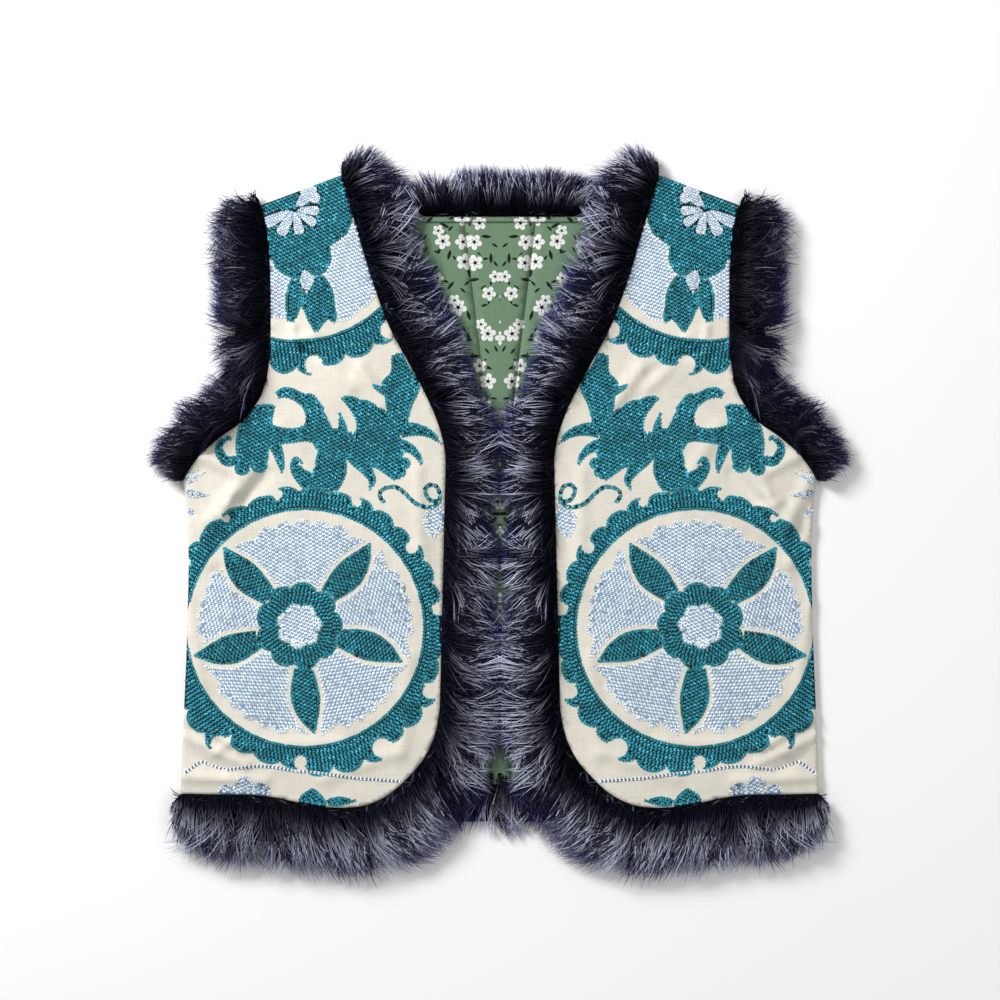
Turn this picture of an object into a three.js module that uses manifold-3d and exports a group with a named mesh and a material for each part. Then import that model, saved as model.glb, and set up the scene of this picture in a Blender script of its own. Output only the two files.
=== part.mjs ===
// An embroidered cotton waistcoat with fur trim, laid flat on its back and face up.
// Millimetres, +Z up. The origin is on the surface that it lies on, at the middle of the
// garment; +Y points to the neck. Left and right are the wearer's, so the left side of the
// body lies towards +X. The right side is the left side mirrored.
import * as THREE from 'three';
import { mergeVertices } from 'three/addons/utils/BufferGeometryUtils.js';
import Module from 'manifold-3d';

const wasm = await Module();
wasm.setup();

// ---- Driving dimensions ------------------------------------------------------------------

const seamGap = 0.3; // between pieces that are sewn edge to edge or lie on each other
const trimGap = 0.45; // between the root of the fur and the edge of the cloth
const backThick = 1.5; // embroidered cotton of the back
const liningThick = 1.0; // printed cotton inside the back
const facingThick = 1.0; // folded strip that finishes the lining at the neck
const frontThick = 2.0; // embroidered cotton of a front, with its turned edges
const pressedFur = 4.6; // height of the fur that the garment lies on
const cutDepth = 40; // more than the garment's height
const foldCell = 14; // grid that carries the folds of a front
const furStep = 10; // most that two sections of a fur strip are apart

const liningUnder = backThick + seamGap;
const frontUnder = liningUnder + liningThick + seamGap;
const upperFurUnder = pressedFur + seamGap;

// Corners of the cut on the wearer's left, as [x, y].
const corner = {
  sideHem: [256, -228.5],
  underarm: [254, 22],
  shoulderTip: [192, 243],
  neckPoint: [127.5, 267],
  breast: [43.6, 35],
  roundTop: [48, -150],
  roundMid: [68, -209],
  roundFoot: [125, -239.5],
};
const backHemRise = 7.5; // the back hem is this much higher at the middle than at the sides
const backNeckY = 234; // level of the back neck edge
const backNeckHalf = 63.5; // half the straight stretch of the back neck
const liningHemY = -216;

// ---- Edges of the cut, each drawn with the cloth on the left hand --------------------------

const edge = {
  side: new THREE.Path().moveTo(...corner.sideHem)
    .bezierCurveTo(252, -120, 245, -20, ...corner.underarm),
  armhole: new THREE.Path().moveTo(...corner.underarm)
    .quadraticCurveTo(243, 46, 212, 65)
    .bezierCurveTo(188, 83, 183.5, 105, 183.5, 150)
    .bezierCurveTo(183.5, 190, 184, 222, ...corner.shoulderTip),
  shoulder: new THREE.Path().moveTo(...corner.shoulderTip).lineTo(...corner.neckPoint),
  front: new THREE.Path().moveTo(...corner.neckPoint)
    .bezierCurveTo(112, 215, 100, 168, 86, 140)
    .bezierCurveTo(70, 108, 43.5, 72, ...corner.breast)
    .lineTo(...corner.roundTop)
    .bezierCurveTo(48, -175, 55, -195, ...corner.roundMid),
  hem: new THREE.Path().moveTo(...corner.roundMid)
    .bezierCurveTo(81, -223, 95, -239.5, ...corner.roundFoot)
    .bezierCurveTo(160, -239.5, 170, -229.5, 205, -229)
    .lineTo(...corner.sideHem),
};

const [sideHemX, sideHemY] = corner.sideHem;
const backHemMidY = sideHemY + backHemRise;
const backHem = new THREE.Path().moveTo(-sideHemX, sideHemY)
  .bezierCurveTo(-170, sideHemY, -80, backHemMidY, 0, backHemMidY)
  .bezierCurveTo(80, backHemMidY, 170, sideHemY, sideHemX, sideHemY);
const backNeck = new THREE.Path().moveTo(backNeckHalf, backNeckY).lineTo(-backNeckHalf, backNeckY);

// Points along a path, about step apart.
function pointsAlong(path, step) {
  return path.getSpacedPoints(Math.max(1, Math.round(path.getLength() / step)));
}

// The closed outline that runs through several edges in turn.
function outlineOf(edges, step) {
  return edges.flatMap((path) => pointsAlong(path, step).slice(0, -1));
}

// ---- Fur trims ---------------------------------------------------------------------------

// Height of the fur across a strip, as shares of its reach and of its full height.
const furProfile = [
  { across: 0, rise: 0.4 },
  { across: 0.14, rise: 0.78 },
  { across: 0.38, rise: 1 },
  { across: 0.68, rise: 0.8 },
  { across: 0.88, rise: 0.45 },
  { across: 1, rise: 0.15 },
];

// Rows of a strip: along the seam in mm, how far the fur reaches, how far its direction
// turns from square to the seam in degrees (anticlockwise), its height and its underside.
const frontFurRows = [
  { along: 0.5, reach: 17, turn: -73, high: 8, under: frontUnder },
  { along: 6, reach: 35.6, turn: -45, high: 13, under: frontUnder },
  { along: 16, reach: 48, turn: -22, high: 16, under: frontUnder },
  { along: 36, reach: 50, turn: -4, high: 17, under: frontUnder },
  { along: 70, reach: 46, turn: 4, high: 17, under: frontUnder },
  { along: 110, reach: 46, turn: 2, high: 16, under: frontUnder },
  { along: 145, reach: 45, turn: 0, high: 16, under: frontUnder },
  { along: 190, reach: 41, turn: 0, high: 16, under: frontUnder },
  { along: 225, reach: 43, turn: 0, high: 16, under: frontUnder },
  { along: 262, reach: 42.3, turn: 0, high: 16, under: frontUnder },
  { along: 350, reach: 44, turn: 0, high: 16, under: frontUnder },
  { along: 440, reach: 45.8, turn: 0, high: 16, under: frontUnder },
  { along: 466, reach: 43, turn: 4, high: 15, under: upperFurUnder },
  { along: 483, reach: 50, turn: 12, high: 15, under: upperFurUnder },
  { along: 496.6, reach: 62, turn: 13, high: 15, under: upperFurUnder },
];
const hemFurRows = [
  { along: 0.4, reach: 62, turn: 13, high: 15, under: upperFurUnder },
  { along: 20, reach: 59, turn: 14, high: 15, under: upperFurUnder },
  { along: 45, reach: 55, turn: 0, high: 16, under: upperFurUnder },
  { along: 72, reach: 53, turn: -10, high: 16, under: upperFurUnder },
  { along: 110, reach: 54, turn: -14, high: 16, under: upperFurUnder },
  { along: 150, reach: 55, turn: -2, high: 16, under: upperFurUnder },
  { along: 182, reach: 50, turn: 3, high: 15, under: upperFurUnder },
  { along: 194, reach: 41, turn: 12, high: 12, under: upperFurUnder },
  { along: 198.6, reach: 16, turn: 45, high: 8, under: upperFurUnder },
];
const armholeFurRows = [
  { along: 0.5, reach: 11, turn: -34, high: 7, under: upperFurUnder },
  { along: 8, reach: 26, turn: 0, high: 11, under: upperFurUnder },
  { along: 21, reach: 37, turn: -12, high: 14, under: upperFurUnder },
  { along: 38, reach: 39, turn: -13, high: 15, under: upperFurUnder },
  { along: 62, reach: 42, turn: -12, high: 15, under: upperFurUnder },
  { along: 95, reach: 43, turn: 0, high: 15, under: upperFurUnder },
  { along: 130, reach: 43, turn: 0, high: 15, under: upperFurUnder },
  { along: 165, reach: 42, turn: 0, high: 15, under: upperFurUnder },
  { along: 205, reach: 46, turn: 4, high: 15, under: upperFurUnder },
  { along: 230, reach: 46, turn: 14, high: 14, under: upperFurUnder },
  { along: 240, reach: 38, turn: 30, high: 12, under: upperFurUnder },
  { along: 244, reach: 26, turn: 58, high: 10, under: upperFurUnder },
  { along: 246.5, reach: 14, turn: 92, high: 7, under: upperFurUnder },
];
const backHemFurRows = [
  { along: 0.8, reach: 14, turn: -45, high: pressedFur, under: 0 },
  { along: 7.3, reach: 38, turn: -12, high: pressedFur, under: 0 },
  { along: 60, reach: 46, turn: 0, high: pressedFur, under: 0 },
  { along: 256, reach: 44.5, turn: 0, high: pressedFur, under: 0 },
  { along: 452, reach: 46, turn: 0, high: pressedFur, under: 0 },
  { along: 505, reach: 38, turn: 12, high: pressedFur, under: 0 },
  { along: 511.5, reach: 14, turn: 45, high: pressedFur, under: 0 },
];
const neckFurRows = [
  { along: 0.5, reach: 34, turn: 0, high: 14, under: 0 },
  { along: 30, reach: 37, turn: 0, high: 17, under: 0 },
  { along: 63.5, reach: 37.5, turn: 0, high: 17, under: 0 },
  { along: 97, reach: 37, turn: 0, high: 17, under: 0 },
  { along: 126.5, reach: 34, turn: 0, high: 14, under: 0 },
];
// The back half of an armhole trim lies pressed under the front half.
const pressedArmholeRows = armholeFurRows.map((row) => (
  { ...row, reach: 0.94 * row.reach, high: pressedFur, under: 0 }
));

// The values of a table of rows at a distance along its seam.
function rowAt(rows, along) {
  const next = Math.max(1, rows.findIndex((row) => row.along >= along));
  const [a, b] = [rows[next - 1], rows[next]];
  const share = THREE.MathUtils.clamp((along - a.along) / (b.along - a.along), 0, 1);
  const mixed = (key) => THREE.MathUtils.lerp(a[key], b[key], share);
  return { reach: mixed('reach'), turn: mixed('turn'), high: mixed('high'), under: mixed('under') };
}

// One ring of a strip: along its underside from tip to seam, then back over the fur.
function furSection(seam, rows, along) {
  const share = along / seam.getLength();
  const root = seam.getPoint(share);
  const heading = seam.getTangent(share);
  const square = new THREE.Vector2(heading.y, -heading.x);
  const start = root.clone().addScaledVector(square, trimGap);
  const { reach, turn, high, under } = rowAt(rows, along);
  const flow = square.clone().rotateAround(new THREE.Vector2(), THREE.MathUtils.degToRad(turn));
  const place = (across, z) => {
    const p = start.clone().addScaledVector(flow, across * reach);
    return new THREE.Vector3(p.x, p.y, z);
  };
  const over = furProfile.map(({ across, rise }) => place(across, under + rise * high));
  return [place(1, under), place(0, under), ...over];
}

// A closed solid through rings of equal length, with its ends capped.
function loftThrough(rings) {
  const size = rings[0].length;
  const positions = rings.flat().flatMap((p) => [p.x, p.y, p.z]);
  const index = [];
  for (let r = 0; r + 1 < rings.length; r += 1) {
    for (let i = 0; i < size; i += 1) {
      const j = (i + 1) % size;
      const [a, b, c, d] = [r * size + i, r * size + j, (r + 1) * size + j, (r + 1) * size + i];
      index.push(a, b, c, a, c, d);
    }
  }
  const last = (rings.length - 1) * size;
  for (let i = 1; i + 1 < size; i += 1) {
    index.push(0, i + 1, i, last, last + i, last + i + 1);
  }
  const geometry = new THREE.BufferGeometry();
  geometry.setAttribute('position', new THREE.Float32BufferAttribute(positions, 3));
  geometry.setIndex(index);
  return geometry;
}

// A strip of fur along a seam, as the plain solid of the fur's reach.
function furStrip(seam, rows, step) {
  const [first, last] = [rows[0].along, rows[rows.length - 1].along];
  const stops = new Set(rows.map((row) => row.along));
  const count = Math.ceil((last - first) / step);
  for (let i = 1; i < count; i += 1) {
    const along = first + (i / count) * (last - first);
    if (rows.every((row) => Math.abs(row.along - along) > step / 3)) stops.add(along);
  }
  const rings = [...stops].sort((a, b) => a - b).map((along) => furSection(seam, rows, along));
  return toSolid(loftThrough(rings));
}

// ---- Cloth -------------------------------------------------------------------------------

function toSolid(geometry) {
  geometry.deleteAttribute('normal');
  geometry.deleteAttribute('uv');
  const merged = mergeVertices(geometry, 1e-3);
  return new wasm.Manifold(new wasm.Mesh({
    numProp: 3,
    vertProperties: merged.getAttribute('position').array,
    triVerts: new Uint32Array(merged.getIndex().array),
  }));
}

function toGeometry(solid) {
  const mesh = solid.getMesh();
  const geometry = new THREE.BufferGeometry();
  geometry.setAttribute('position', new THREE.Float32BufferAttribute(mesh.vertProperties, 3));
  geometry.setIndex(new THREE.BufferAttribute(mesh.triVerts, 1));
  return geometry;
}

// A flat piece of cloth between two levels.
function flatPiece(outline, under, thick) {
  const options = { depth: thick, bevelEnabled: false };
  const plate = new THREE.ExtrudeGeometry(new THREE.Shape(outline), options);
  return toSolid(plate.translate(0, 0, under));
}

// Main folds of a front: soft ridges (high above 0) and troughs (below 0) between two points.
const frontFolds = [
  { name: 'underarm drag', from: [236, 30], to: [206, -14], wide: 15, high: 2.2 },
  { name: 'underarm hollow', from: [214, 44], to: [182, 4], wide: 15, high: -1.2 },
  { name: 'bust slack', from: [180, 60], to: [120, 98], wide: 18, high: 1.8 },
  { name: 'shoulder slack', from: [176, 150], to: [122, 128], wide: 16, high: 1.2 },
  { name: 'side slack', from: [246, -60], to: [214, -150], wide: 20, high: 1.4 },
  { name: 'hem ridge', from: [248, -186], to: [196, -206], wide: 14, high: 1.6 },
  { name: 'front edge slack', from: [62, 20], to: [66, -120], wide: 18, high: 1.2 },
];
const crown = 1.4; // how far the middle of a front stands clear of the lining
const crownReach = 60; // distance from the edge over which it comes up
const seamReach = 14; // distance over which a front comes down to the back at a seam
const armholeReach = 42; // distance over which it comes up to the armhole trim
const hemLiftFrom = -172; // it comes up over the back hem's fur between these two levels
const hemLiftFull = -214;

const edgePoints = Object.fromEntries(
  Object.entries(edge).map(([name, path]) => [name, pointsAlong(path, 6)]),
);

function distanceToLine(points, x, y) {
  let least = Infinity;
  for (let i = 0; i + 1 < points.length; i += 1) {
    const [a, b] = [points[i], points[i + 1]];
    const [dx, dy] = [b.x - a.x, b.y - a.y];
    const share = ((x - a.x) * dx + (y - a.y) * dy) / (dx * dx + dy * dy);
    const t = THREE.MathUtils.clamp(share, 0, 1);
    least = Math.min(least, Math.hypot(x - a.x - t * dx, y - a.y - t * dy));
  }
  return least;
}

function foldHeight(fold, x, y) {
  const line = [fold.from, fold.to].map(([px, py]) => ({ x: px, y: py }));
  return fold.high * Math.exp(-((distanceToLine(line, x, y) / fold.wide) ** 2));
}

// Level of the underside of a front over the point x, y.
function frontLevel(x, y) {
  const { smoothstep, lerp } = THREE.MathUtils;
  const away = (name) => distanceToLine(edgePoints[name], x, y);
  const fromEdge = Math.min(...Object.keys(edge).map(away));
  const folds = frontFolds.reduce((sum, fold) => sum + foldHeight(fold, x, y), 0);
  const loose = (crown + folds) * smoothstep(fromEdge, 0, crownReach);
  const lift = Math.max(
    1 - smoothstep(away('armhole'), 0, armholeReach),
    smoothstep(-y, -hemLiftFrom, -hemLiftFull),
  ) * (upperFurUnder - frontUnder);
  const open = frontUnder + Math.max(lift, lift + loose);
  const joined = smoothstep(Math.min(away('side'), away('shoulder')), 0, seamReach);
  return lerp(liningUnder, open, joined);
}

// A slab of cloth over a rectangle, with its underside at frontLevel.
function foldedSlab(box, cell, thick) {
  const columns = Math.ceil((box.max.x - box.min.x) / cell);
  const rows = Math.ceil((box.max.y - box.min.y) / cell);
  const x = (i) => THREE.MathUtils.lerp(box.min.x, box.max.x, i / columns);
  const y = (j) => THREE.MathUtils.lerp(box.min.y, box.max.y, j / rows);
  const layer = (columns + 1) * (rows + 1);
  const id = (i, j, top) => (top ? layer : 0) + j * (columns + 1) + i;
  const positions = [];
  for (const top of [0, thick]) {
    for (let j = 0; j <= rows; j += 1) {
      for (let i = 0; i <= columns; i += 1) {
        positions.push(x(i), y(j), frontLevel(x(i), y(j)) + top);
      }
    }
  }
  const index = [];
  const quad = (a, b, c, d) => index.push(a, b, c, a, c, d);
  for (let j = 0; j < rows; j += 1) {
    for (let i = 0; i < columns; i += 1) {
      quad(id(i, j, true), id(i + 1, j, true), id(i + 1, j + 1, true), id(i, j + 1, true));
      quad(id(i, j), id(i, j + 1), id(i + 1, j + 1), id(i + 1, j));
    }
  }
  for (let i = 0; i < columns; i += 1) {
    quad(id(i, 0), id(i + 1, 0), id(i + 1, 0, true), id(i, 0, true));
    quad(id(i + 1, rows), id(i, rows), id(i, rows, true), id(i + 1, rows, true));
  }
  for (let j = 0; j < rows; j += 1) {
    quad(id(0, j + 1), id(0, j), id(0, j, true), id(0, j + 1, true));
    quad(id(columns, j), id(columns, j + 1), id(columns, j + 1, true), id(columns, j, true));
  }
  const geometry = new THREE.BufferGeometry();
  geometry.setAttribute('position', new THREE.Float32BufferAttribute(positions, 3));
  geometry.setIndex(index);
  return geometry;
}

// A front: the folded slab, cut to the front's outline.
function frontPiece() {
  const outline = outlineOf([edge.side, edge.armhole, edge.shoulder, edge.front, edge.hem], 9);
  const box = new THREE.Box2().setFromPoints(outline).expandByScalar(foldCell / 2);
  const slab = toSolid(foldedSlab(box, foldCell, frontThick));
  return slab.intersect(flatPiece(outline, 0, cutDepth));
}

// The back: one flat piece from side seam to side seam.
function backPiece() {
  const left = outlineOf([edge.side, edge.armhole, edge.shoulder], 9);
  const neck = pointsAlong(
    new THREE.Path().moveTo(...corner.neckPoint)
      .quadraticCurveTo(108, backNeckY, backNeckHalf + 8, backNeckY),
    9,
  );
  const half = [...left, ...neck];
  const mirrored = half.slice(1).reverse().map((p) => new THREE.Vector2(-p.x, p.y));
  const hem = pointsAlong(backHem, 33).slice(0, -1);
  return flatPiece([...half, ...mirrored, ...hem], 0, backThick);
}

// The lining of the back is cut in three, with seams that close in from the neck down.
const liningSeam = { top: [29, 233.5], bend: [9, 70], foot: [9, liningHemY] };

function liningSide() {
  const outer = new THREE.Path().moveTo(230, liningHemY)
    .bezierCurveTo(227, -100, 222, -20, 226, 14)
    .quadraticCurveTo(216, 36, 197, 48)
    .bezierCurveTo(172, 70, 168, 110, 168, 150)
    .quadraticCurveTo(168, 205, 172, 226)
    .lineTo(130, 242)
    .quadraticCurveTo(112, liningSeam.top[1], 84, liningSeam.top[1]);
  const inner = [liningSeam.top, liningSeam.bend, liningSeam.foot];
  const seamSide = inner.map(([x, y]) => new THREE.Vector2(x + seamGap, y));
  return flatPiece([...pointsAlong(outer, 12), ...seamSide], liningUnder, liningThick);
}

function liningCentre() {
  const half = [liningSeam.foot, liningSeam.bend, liningSeam.top];
  const left = half.map(([x, y]) => new THREE.Vector2(x, y));
  const right = [...left].reverse().map((p) => new THREE.Vector2(-p.x, p.y));
  return flatPiece([...left, ...right], liningUnder, liningThick);
}

// The folded strip along the top of the lining, below the neck fur.
const facing = { half: 61, low: 229.6, high: 233.6 };

function neckFacing() {
  const wide = 2 * facing.half;
  const deep = facing.high - facing.low;
  const level = frontUnder + facingThick / 2;
  const strip = new THREE.BoxGeometry(wide, deep, facingThick);
  return toSolid(strip.translate(0, (facing.low + facing.high) / 2, level));
}

// ---- Materials and assembly ----------------------------------------------------------------

const cotton = new THREE.MeshStandardMaterial({ color: 0xe9e0d2, roughness: 0.9 });
const print = new THREE.MeshStandardMaterial({ color: 0x5f9a6a, roughness: 0.85 });
const fur = new THREE.MeshStandardMaterial({ color: 0x24223f, roughness: 0.8 });

function addMesh(group, name, solid, material) {
  const mesh = new THREE.Mesh(toGeometry(solid), material);
  mesh.name = name;
  group.add(mesh);
}

const waistcoat = new THREE.Group();
addMesh(waistcoat, 'back', backPiece(), cotton);
addMesh(waistcoat, 'lining_centre', liningCentre(), print);
addMesh(waistcoat, 'neck_facing', neckFacing(), print);
addMesh(waistcoat, 'fur_back_neck', furStrip(backNeck, neckFurRows, furStep), fur);
addMesh(waistcoat, 'fur_back_hem', furStrip(backHem, backHemFurRows, 3 * furStep), fur);

// The pieces that come in pairs: the left one as drawn, the right one mirrored.
const pairs = [
  { name: 'front', left: frontPiece(), material: cotton },
  { name: 'lining', left: liningSide(), material: print },
  { name: 'fur_front_edge', left: furStrip(edge.front, frontFurRows, furStep), material: fur },
  { name: 'fur_front_hem', left: furStrip(edge.hem, hemFurRows, furStep), material: fur },
  { name: 'fur_armhole_front', left: furStrip(edge.armhole, armholeFurRows, furStep), material: fur },
  { name: 'fur_armhole_back', left: furStrip(edge.armhole, pressedArmholeRows, furStep), material: fur },
];
for (const { name, left, material } of pairs) {
  addMesh(waistcoat, `${name}_left`, left, material);
  addMesh(waistcoat, `${name}_right`, left.mirror([1, 0, 0]), material);
}

export default waistcoat;
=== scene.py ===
"""An embroidered cotton waistcoat with fur trim, laid out flat and face up."""

import math

import bmesh
import bpy
import numpy as np
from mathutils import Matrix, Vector, geometry, noise
from mathutils.bvhtree import BVHTree


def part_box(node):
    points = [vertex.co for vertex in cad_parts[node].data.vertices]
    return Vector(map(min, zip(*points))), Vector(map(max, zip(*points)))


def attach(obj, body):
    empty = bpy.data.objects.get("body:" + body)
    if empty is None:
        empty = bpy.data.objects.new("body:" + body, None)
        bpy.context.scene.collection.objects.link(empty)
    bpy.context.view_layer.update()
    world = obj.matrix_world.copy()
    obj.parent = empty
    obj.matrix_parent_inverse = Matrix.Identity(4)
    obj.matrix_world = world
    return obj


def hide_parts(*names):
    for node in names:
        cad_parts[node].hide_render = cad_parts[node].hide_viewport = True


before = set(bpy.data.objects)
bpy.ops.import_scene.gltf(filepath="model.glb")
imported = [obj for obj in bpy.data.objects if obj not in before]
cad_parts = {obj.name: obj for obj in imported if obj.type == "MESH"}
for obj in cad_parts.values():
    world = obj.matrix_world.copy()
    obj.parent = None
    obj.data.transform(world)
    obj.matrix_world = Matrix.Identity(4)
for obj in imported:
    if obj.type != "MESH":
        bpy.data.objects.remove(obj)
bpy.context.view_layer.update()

bl_info = {
    "name": "Embroidered Waistcoat",
    "version": (1, 0, 0),
    "blender": (4, 5, 0),
    "location": "View3D > Sidebar > Waistcoat",
    "description": "Makes a fur-trimmed, embroidered waistcoat laid out flat",
    "category": "Mesh",
}

MM = 0.001
LEFT, RIGHT = 1, -1
SIDES = {"left": LEFT, "right": RIGHT}

# ---- The cut: seams and trims of the wearer's left side, in millimetres -------------------

# Each edge starts at a point and goes on in lines and Bezier curves.
CUT_EDGES = {
    "side": ((256, -228.5), ((252, -120), (245, -20), (254, 22))),
    "armhole": (
        (254, 22),
        ((243, 46), (212, 65)),
        ((188, 83), (183.5, 105), (183.5, 150)),
        ((183.5, 190), (184, 222), (192, 243)),
    ),
    "shoulder": ((192, 243), ((127.5, 267),)),
    "front": (
        (127.5, 267),
        ((112, 215), (100, 168), (86, 140)),
        ((70, 108), (43.5, 72), (43.6, 35)),
        ((48, -150),),
        ((48, -175), (55, -195), (68, -209)),
    ),
    "hem": (
        (68, -209),
        ((81, -223), (95, -239.5), (125, -239.5)),
        ((160, -239.5), (170, -229.5), (205, -229)),
        ((256, -228.5),),
    ),
    "back_hem": (
        (-256, -228.5),
        ((-170, -228.5), (-80, -221), (0, -221)),
        ((80, -221), (170, -228.5), (256, -228.5)),
    ),
    "back_neck": ((63.5, 234), ((-63.5, 234),)),
    "back_neck_turn": ((127.5, 267), ((108, 234), (71.5, 234))),
}

# Rows of each trim: along the seam, reach of the fur, turn of its flow from square to the
# seam in degrees, height, underside, and the extra turn that the hair is combed with.
UNDER_FRONT, UNDER_UPPER = 3.1, 4.9
TRIM_ROWS = {
    "front_edge": (
        (0.5, 17, -73, 8, UNDER_FRONT, 0),
        (6, 35.6, -45, 13, UNDER_FRONT, 0),
        (16, 48, -22, 16, UNDER_FRONT, -4),
        (36, 50, -4, 17, UNDER_FRONT, -4),
        (70, 46, 4, 17, UNDER_FRONT, 2),
        (110, 46, 2, 16, UNDER_FRONT, 8),
        (145, 45, 0, 16, UNDER_FRONT, 14),
        (190, 41, 0, 16, UNDER_FRONT, 18),
        (225, 43, 0, 16, UNDER_FRONT, 18),
        (262, 42.3, 0, 16, UNDER_FRONT, 22),
        (350, 44, 0, 16, UNDER_FRONT, 26),
        (440, 45.8, 0, 16, UNDER_FRONT, 26),
        (466, 50, 4, 15, UNDER_UPPER, 20),
        (483, 58, 10, 15, UNDER_UPPER, 8),
        (496.6, 62, 13, 15, UNDER_UPPER, 4),
    ),
    "front_hem": (
        (0.4, 62, 13, 15, UNDER_UPPER, 2),
        (20, 59, 14, 15, UNDER_UPPER, 0),
        (45, 55, 0, 16, UNDER_UPPER, 0),
        (72, 53, -10, 16, UNDER_UPPER, 3),
        (110, 54, -14, 16, UNDER_UPPER, 5),
        (150, 55, -2, 16, UNDER_UPPER, 0),
        (182, 50, 3, 15, UNDER_UPPER, 0),
        (194, 41, 12, 12, UNDER_UPPER, 0),
        (198.6, 16, 45, 8, UNDER_UPPER, -10),
    ),
    "armhole_front": (
        (0.5, 11, -34, 7, UNDER_UPPER, 0),
        (8, 26, 0, 11, UNDER_UPPER, -8),
        (21, 37, -12, 14, UNDER_UPPER, -14),
        (38, 39, -13, 15, UNDER_UPPER, -18),
        (62, 42, -12, 15, UNDER_UPPER, -20),
        (95, 43, 0, 15, UNDER_UPPER, -24),
        (130, 43, 0, 15, UNDER_UPPER, -24),
        (165, 42, 0, 15, UNDER_UPPER, -18),
        (205, 46, 4, 15, UNDER_UPPER, -8),
        (230, 46, 14, 14, UNDER_UPPER, 0),
        (240, 38, 30, 12, UNDER_UPPER, 0),
        (244, 26, 58, 10, UNDER_UPPER, 0),
        (246.5, 14, 92, 7, UNDER_UPPER, 0),
    ),
    "back_hem": (
        (0.8, 14, -45, 4.6, 0, 0),
        (7.3, 38, -12, 4.6, 0, 0),
        (60, 46, 0, 4.6, 0, 4),
        (205, 45, 0, 4.6, 0, 2),
        (222, 45, 0, 4.6, 2.6, 1),
        (256, 44.5, 0, 4.6, 2.6, 0),
        (290, 45, 0, 4.6, 2.6, -1),
        (307, 45, 0, 4.6, 0, -2),
        (452, 46, 0, 4.6, 0, -4),
        (505, 38, 12, 4.6, 0, 0),
        (511.5, 14, 45, 4.6, 0, 0),
    ),
    "back_neck": (
        (0.5, 34, 0, 14, 0, -42),
        (16, 35.5, 0, 16, 0, -14),
        (30, 37, 0, 17, 0, -5),
        (63.5, 37.5, 0, 17, 0, 0),
        (97, 37, 0, 17, 0, 5),
        (111, 35.5, 0, 16, 0, 14),
        (126.5, 34, 0, 14, 0, 42),
    ),
}
TRIM_ROWS["armhole_back"] = tuple(
    (along, 0.94 * reach, turn, 4.6, 0, comb)
    for along, reach, turn, _, _, comb in TRIM_ROWS["armhole_front"]
)

# Soft creases of a front: from, to, half width, height.
CREASES = (
    ((231, -10), (199, 31), 7, 4.6),
    ((206, 6), (186, 27), 4, -3.0),
    ((247, 20), (228, -16), 6, 3.4),
    ((238, 42), (212, 28), 5, 3.0),
    ((250, -14), (232, -44), 6, 2.6),
    ((181, 127), (150, 138), 4, 2.8),
    ((166, 146), (163, 126), 3, 2.4),
    ((158, 128), (122, 108), 5, -1.8),
    ((112, 112), (92, 84), 6, 3.6),
    ((140, 118), (118, 96), 5, 2.2),
    ((176, 66), (152, 28), 6, 2.0),
    ((252, -166), (208, -192), 4, 3.4),
    ((253, -182), (204, -205), 4, 2.6),
    ((250, -196), (222, -210), 3, -2.0),
    ((252, -215), (188, -218), 4, 2.4),
    ((200, -190), (126, -187), 5, 2.0),
    ((140, -216), (84, -196), 6, 1.8),
    ((66, 30), (62, -66), 6, 2.0),
    ((72, -120), (78, -196), 6, 2.0),
    ((250, -70), (238, -150), 5, 2.2),
    ((222, 66), (196, 84), 6, 2.2),
    ((214, 12), (222, -8), 3, 2.2),
    ((224, 6), (207, -4), 3, 1.8),
    ((170, 132), (160, 118), 3, 2.0),
    ((146, 134), (134, 124), 3, 1.8),
    ((120, 128), (104, 134), 4, 2.0),
    ((228, -196), (214, -186), 3, 2.0),
)


def draw_edge(name, step):
    """Evenly spaced points along an edge of the cut."""
    start, *pieces = CUT_EDGES[name]
    points = [np.array([start], float)]
    for controls in pieces:
        hull = np.array([points[-1][-1], *controls], float)
        t = np.linspace(0, 1, 81)[1:, None]
        for _ in range(len(hull) - 1):
            hull = [a + (b - a) * t for a, b in zip(hull[:-1], hull[1:])]
        points.append(hull[0])
    line = np.vstack(points)
    run = np.concatenate([[0], np.cumsum(np.hypot(*np.diff(line, axis=0).T))])
    count = max(1, round(run[-1] / step))
    stops = np.linspace(0, run[-1], count + 1)
    return np.stack([np.interp(stops, run, line[:, i]) for i in (0, 1)], 1)


def outline(names, step):
    """The closed line through several edges in turn."""
    return np.vstack([draw_edge(name, step)[:-1] for name in names])


def mirrored(line):
    """The same line on the other side of the body, in the opposite order."""
    return line[::-1] * [-1, 1]


def signed_distance(points, ring):
    """Distance of points to a closed line, below zero inside it."""
    near = np.full(len(points), 1e3)
    low, high = ring.min(0) - 6, ring.max(0) + 6
    picked = np.flatnonzero(((points > low) & (points < high)).all(1))
    if len(picked) == 0:
        return near
    a, b = ring, np.roll(ring, -1, 0)
    run = b - a
    spans = np.maximum((run**2).sum(1), 1e-9)
    for part in np.array_split(picked, len(picked) // 4000 + 1):
        p = points[part]
        away = p[:, None] - a
        t = np.clip((away * run).sum(2) / spans, 0, 1)
        away -= t[..., None] * run
        gap = np.hypot(away[..., 0], away[..., 1]).min(1)
        crosses = (a[:, 1] > p[:, 1:]) != (b[:, 1] > p[:, 1:])
        rise = np.where(run[:, 1] == 0, 1e-9, run[:, 1])
        at = a[:, 0] + (p[:, 1:] - a[:, 1]) / rise * run[:, 0]
        inside = (crosses & (p[:, :1] < at)).sum(1) % 2 == 1
        near[part] = np.where(inside, -gap, gap)
    return near


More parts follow.
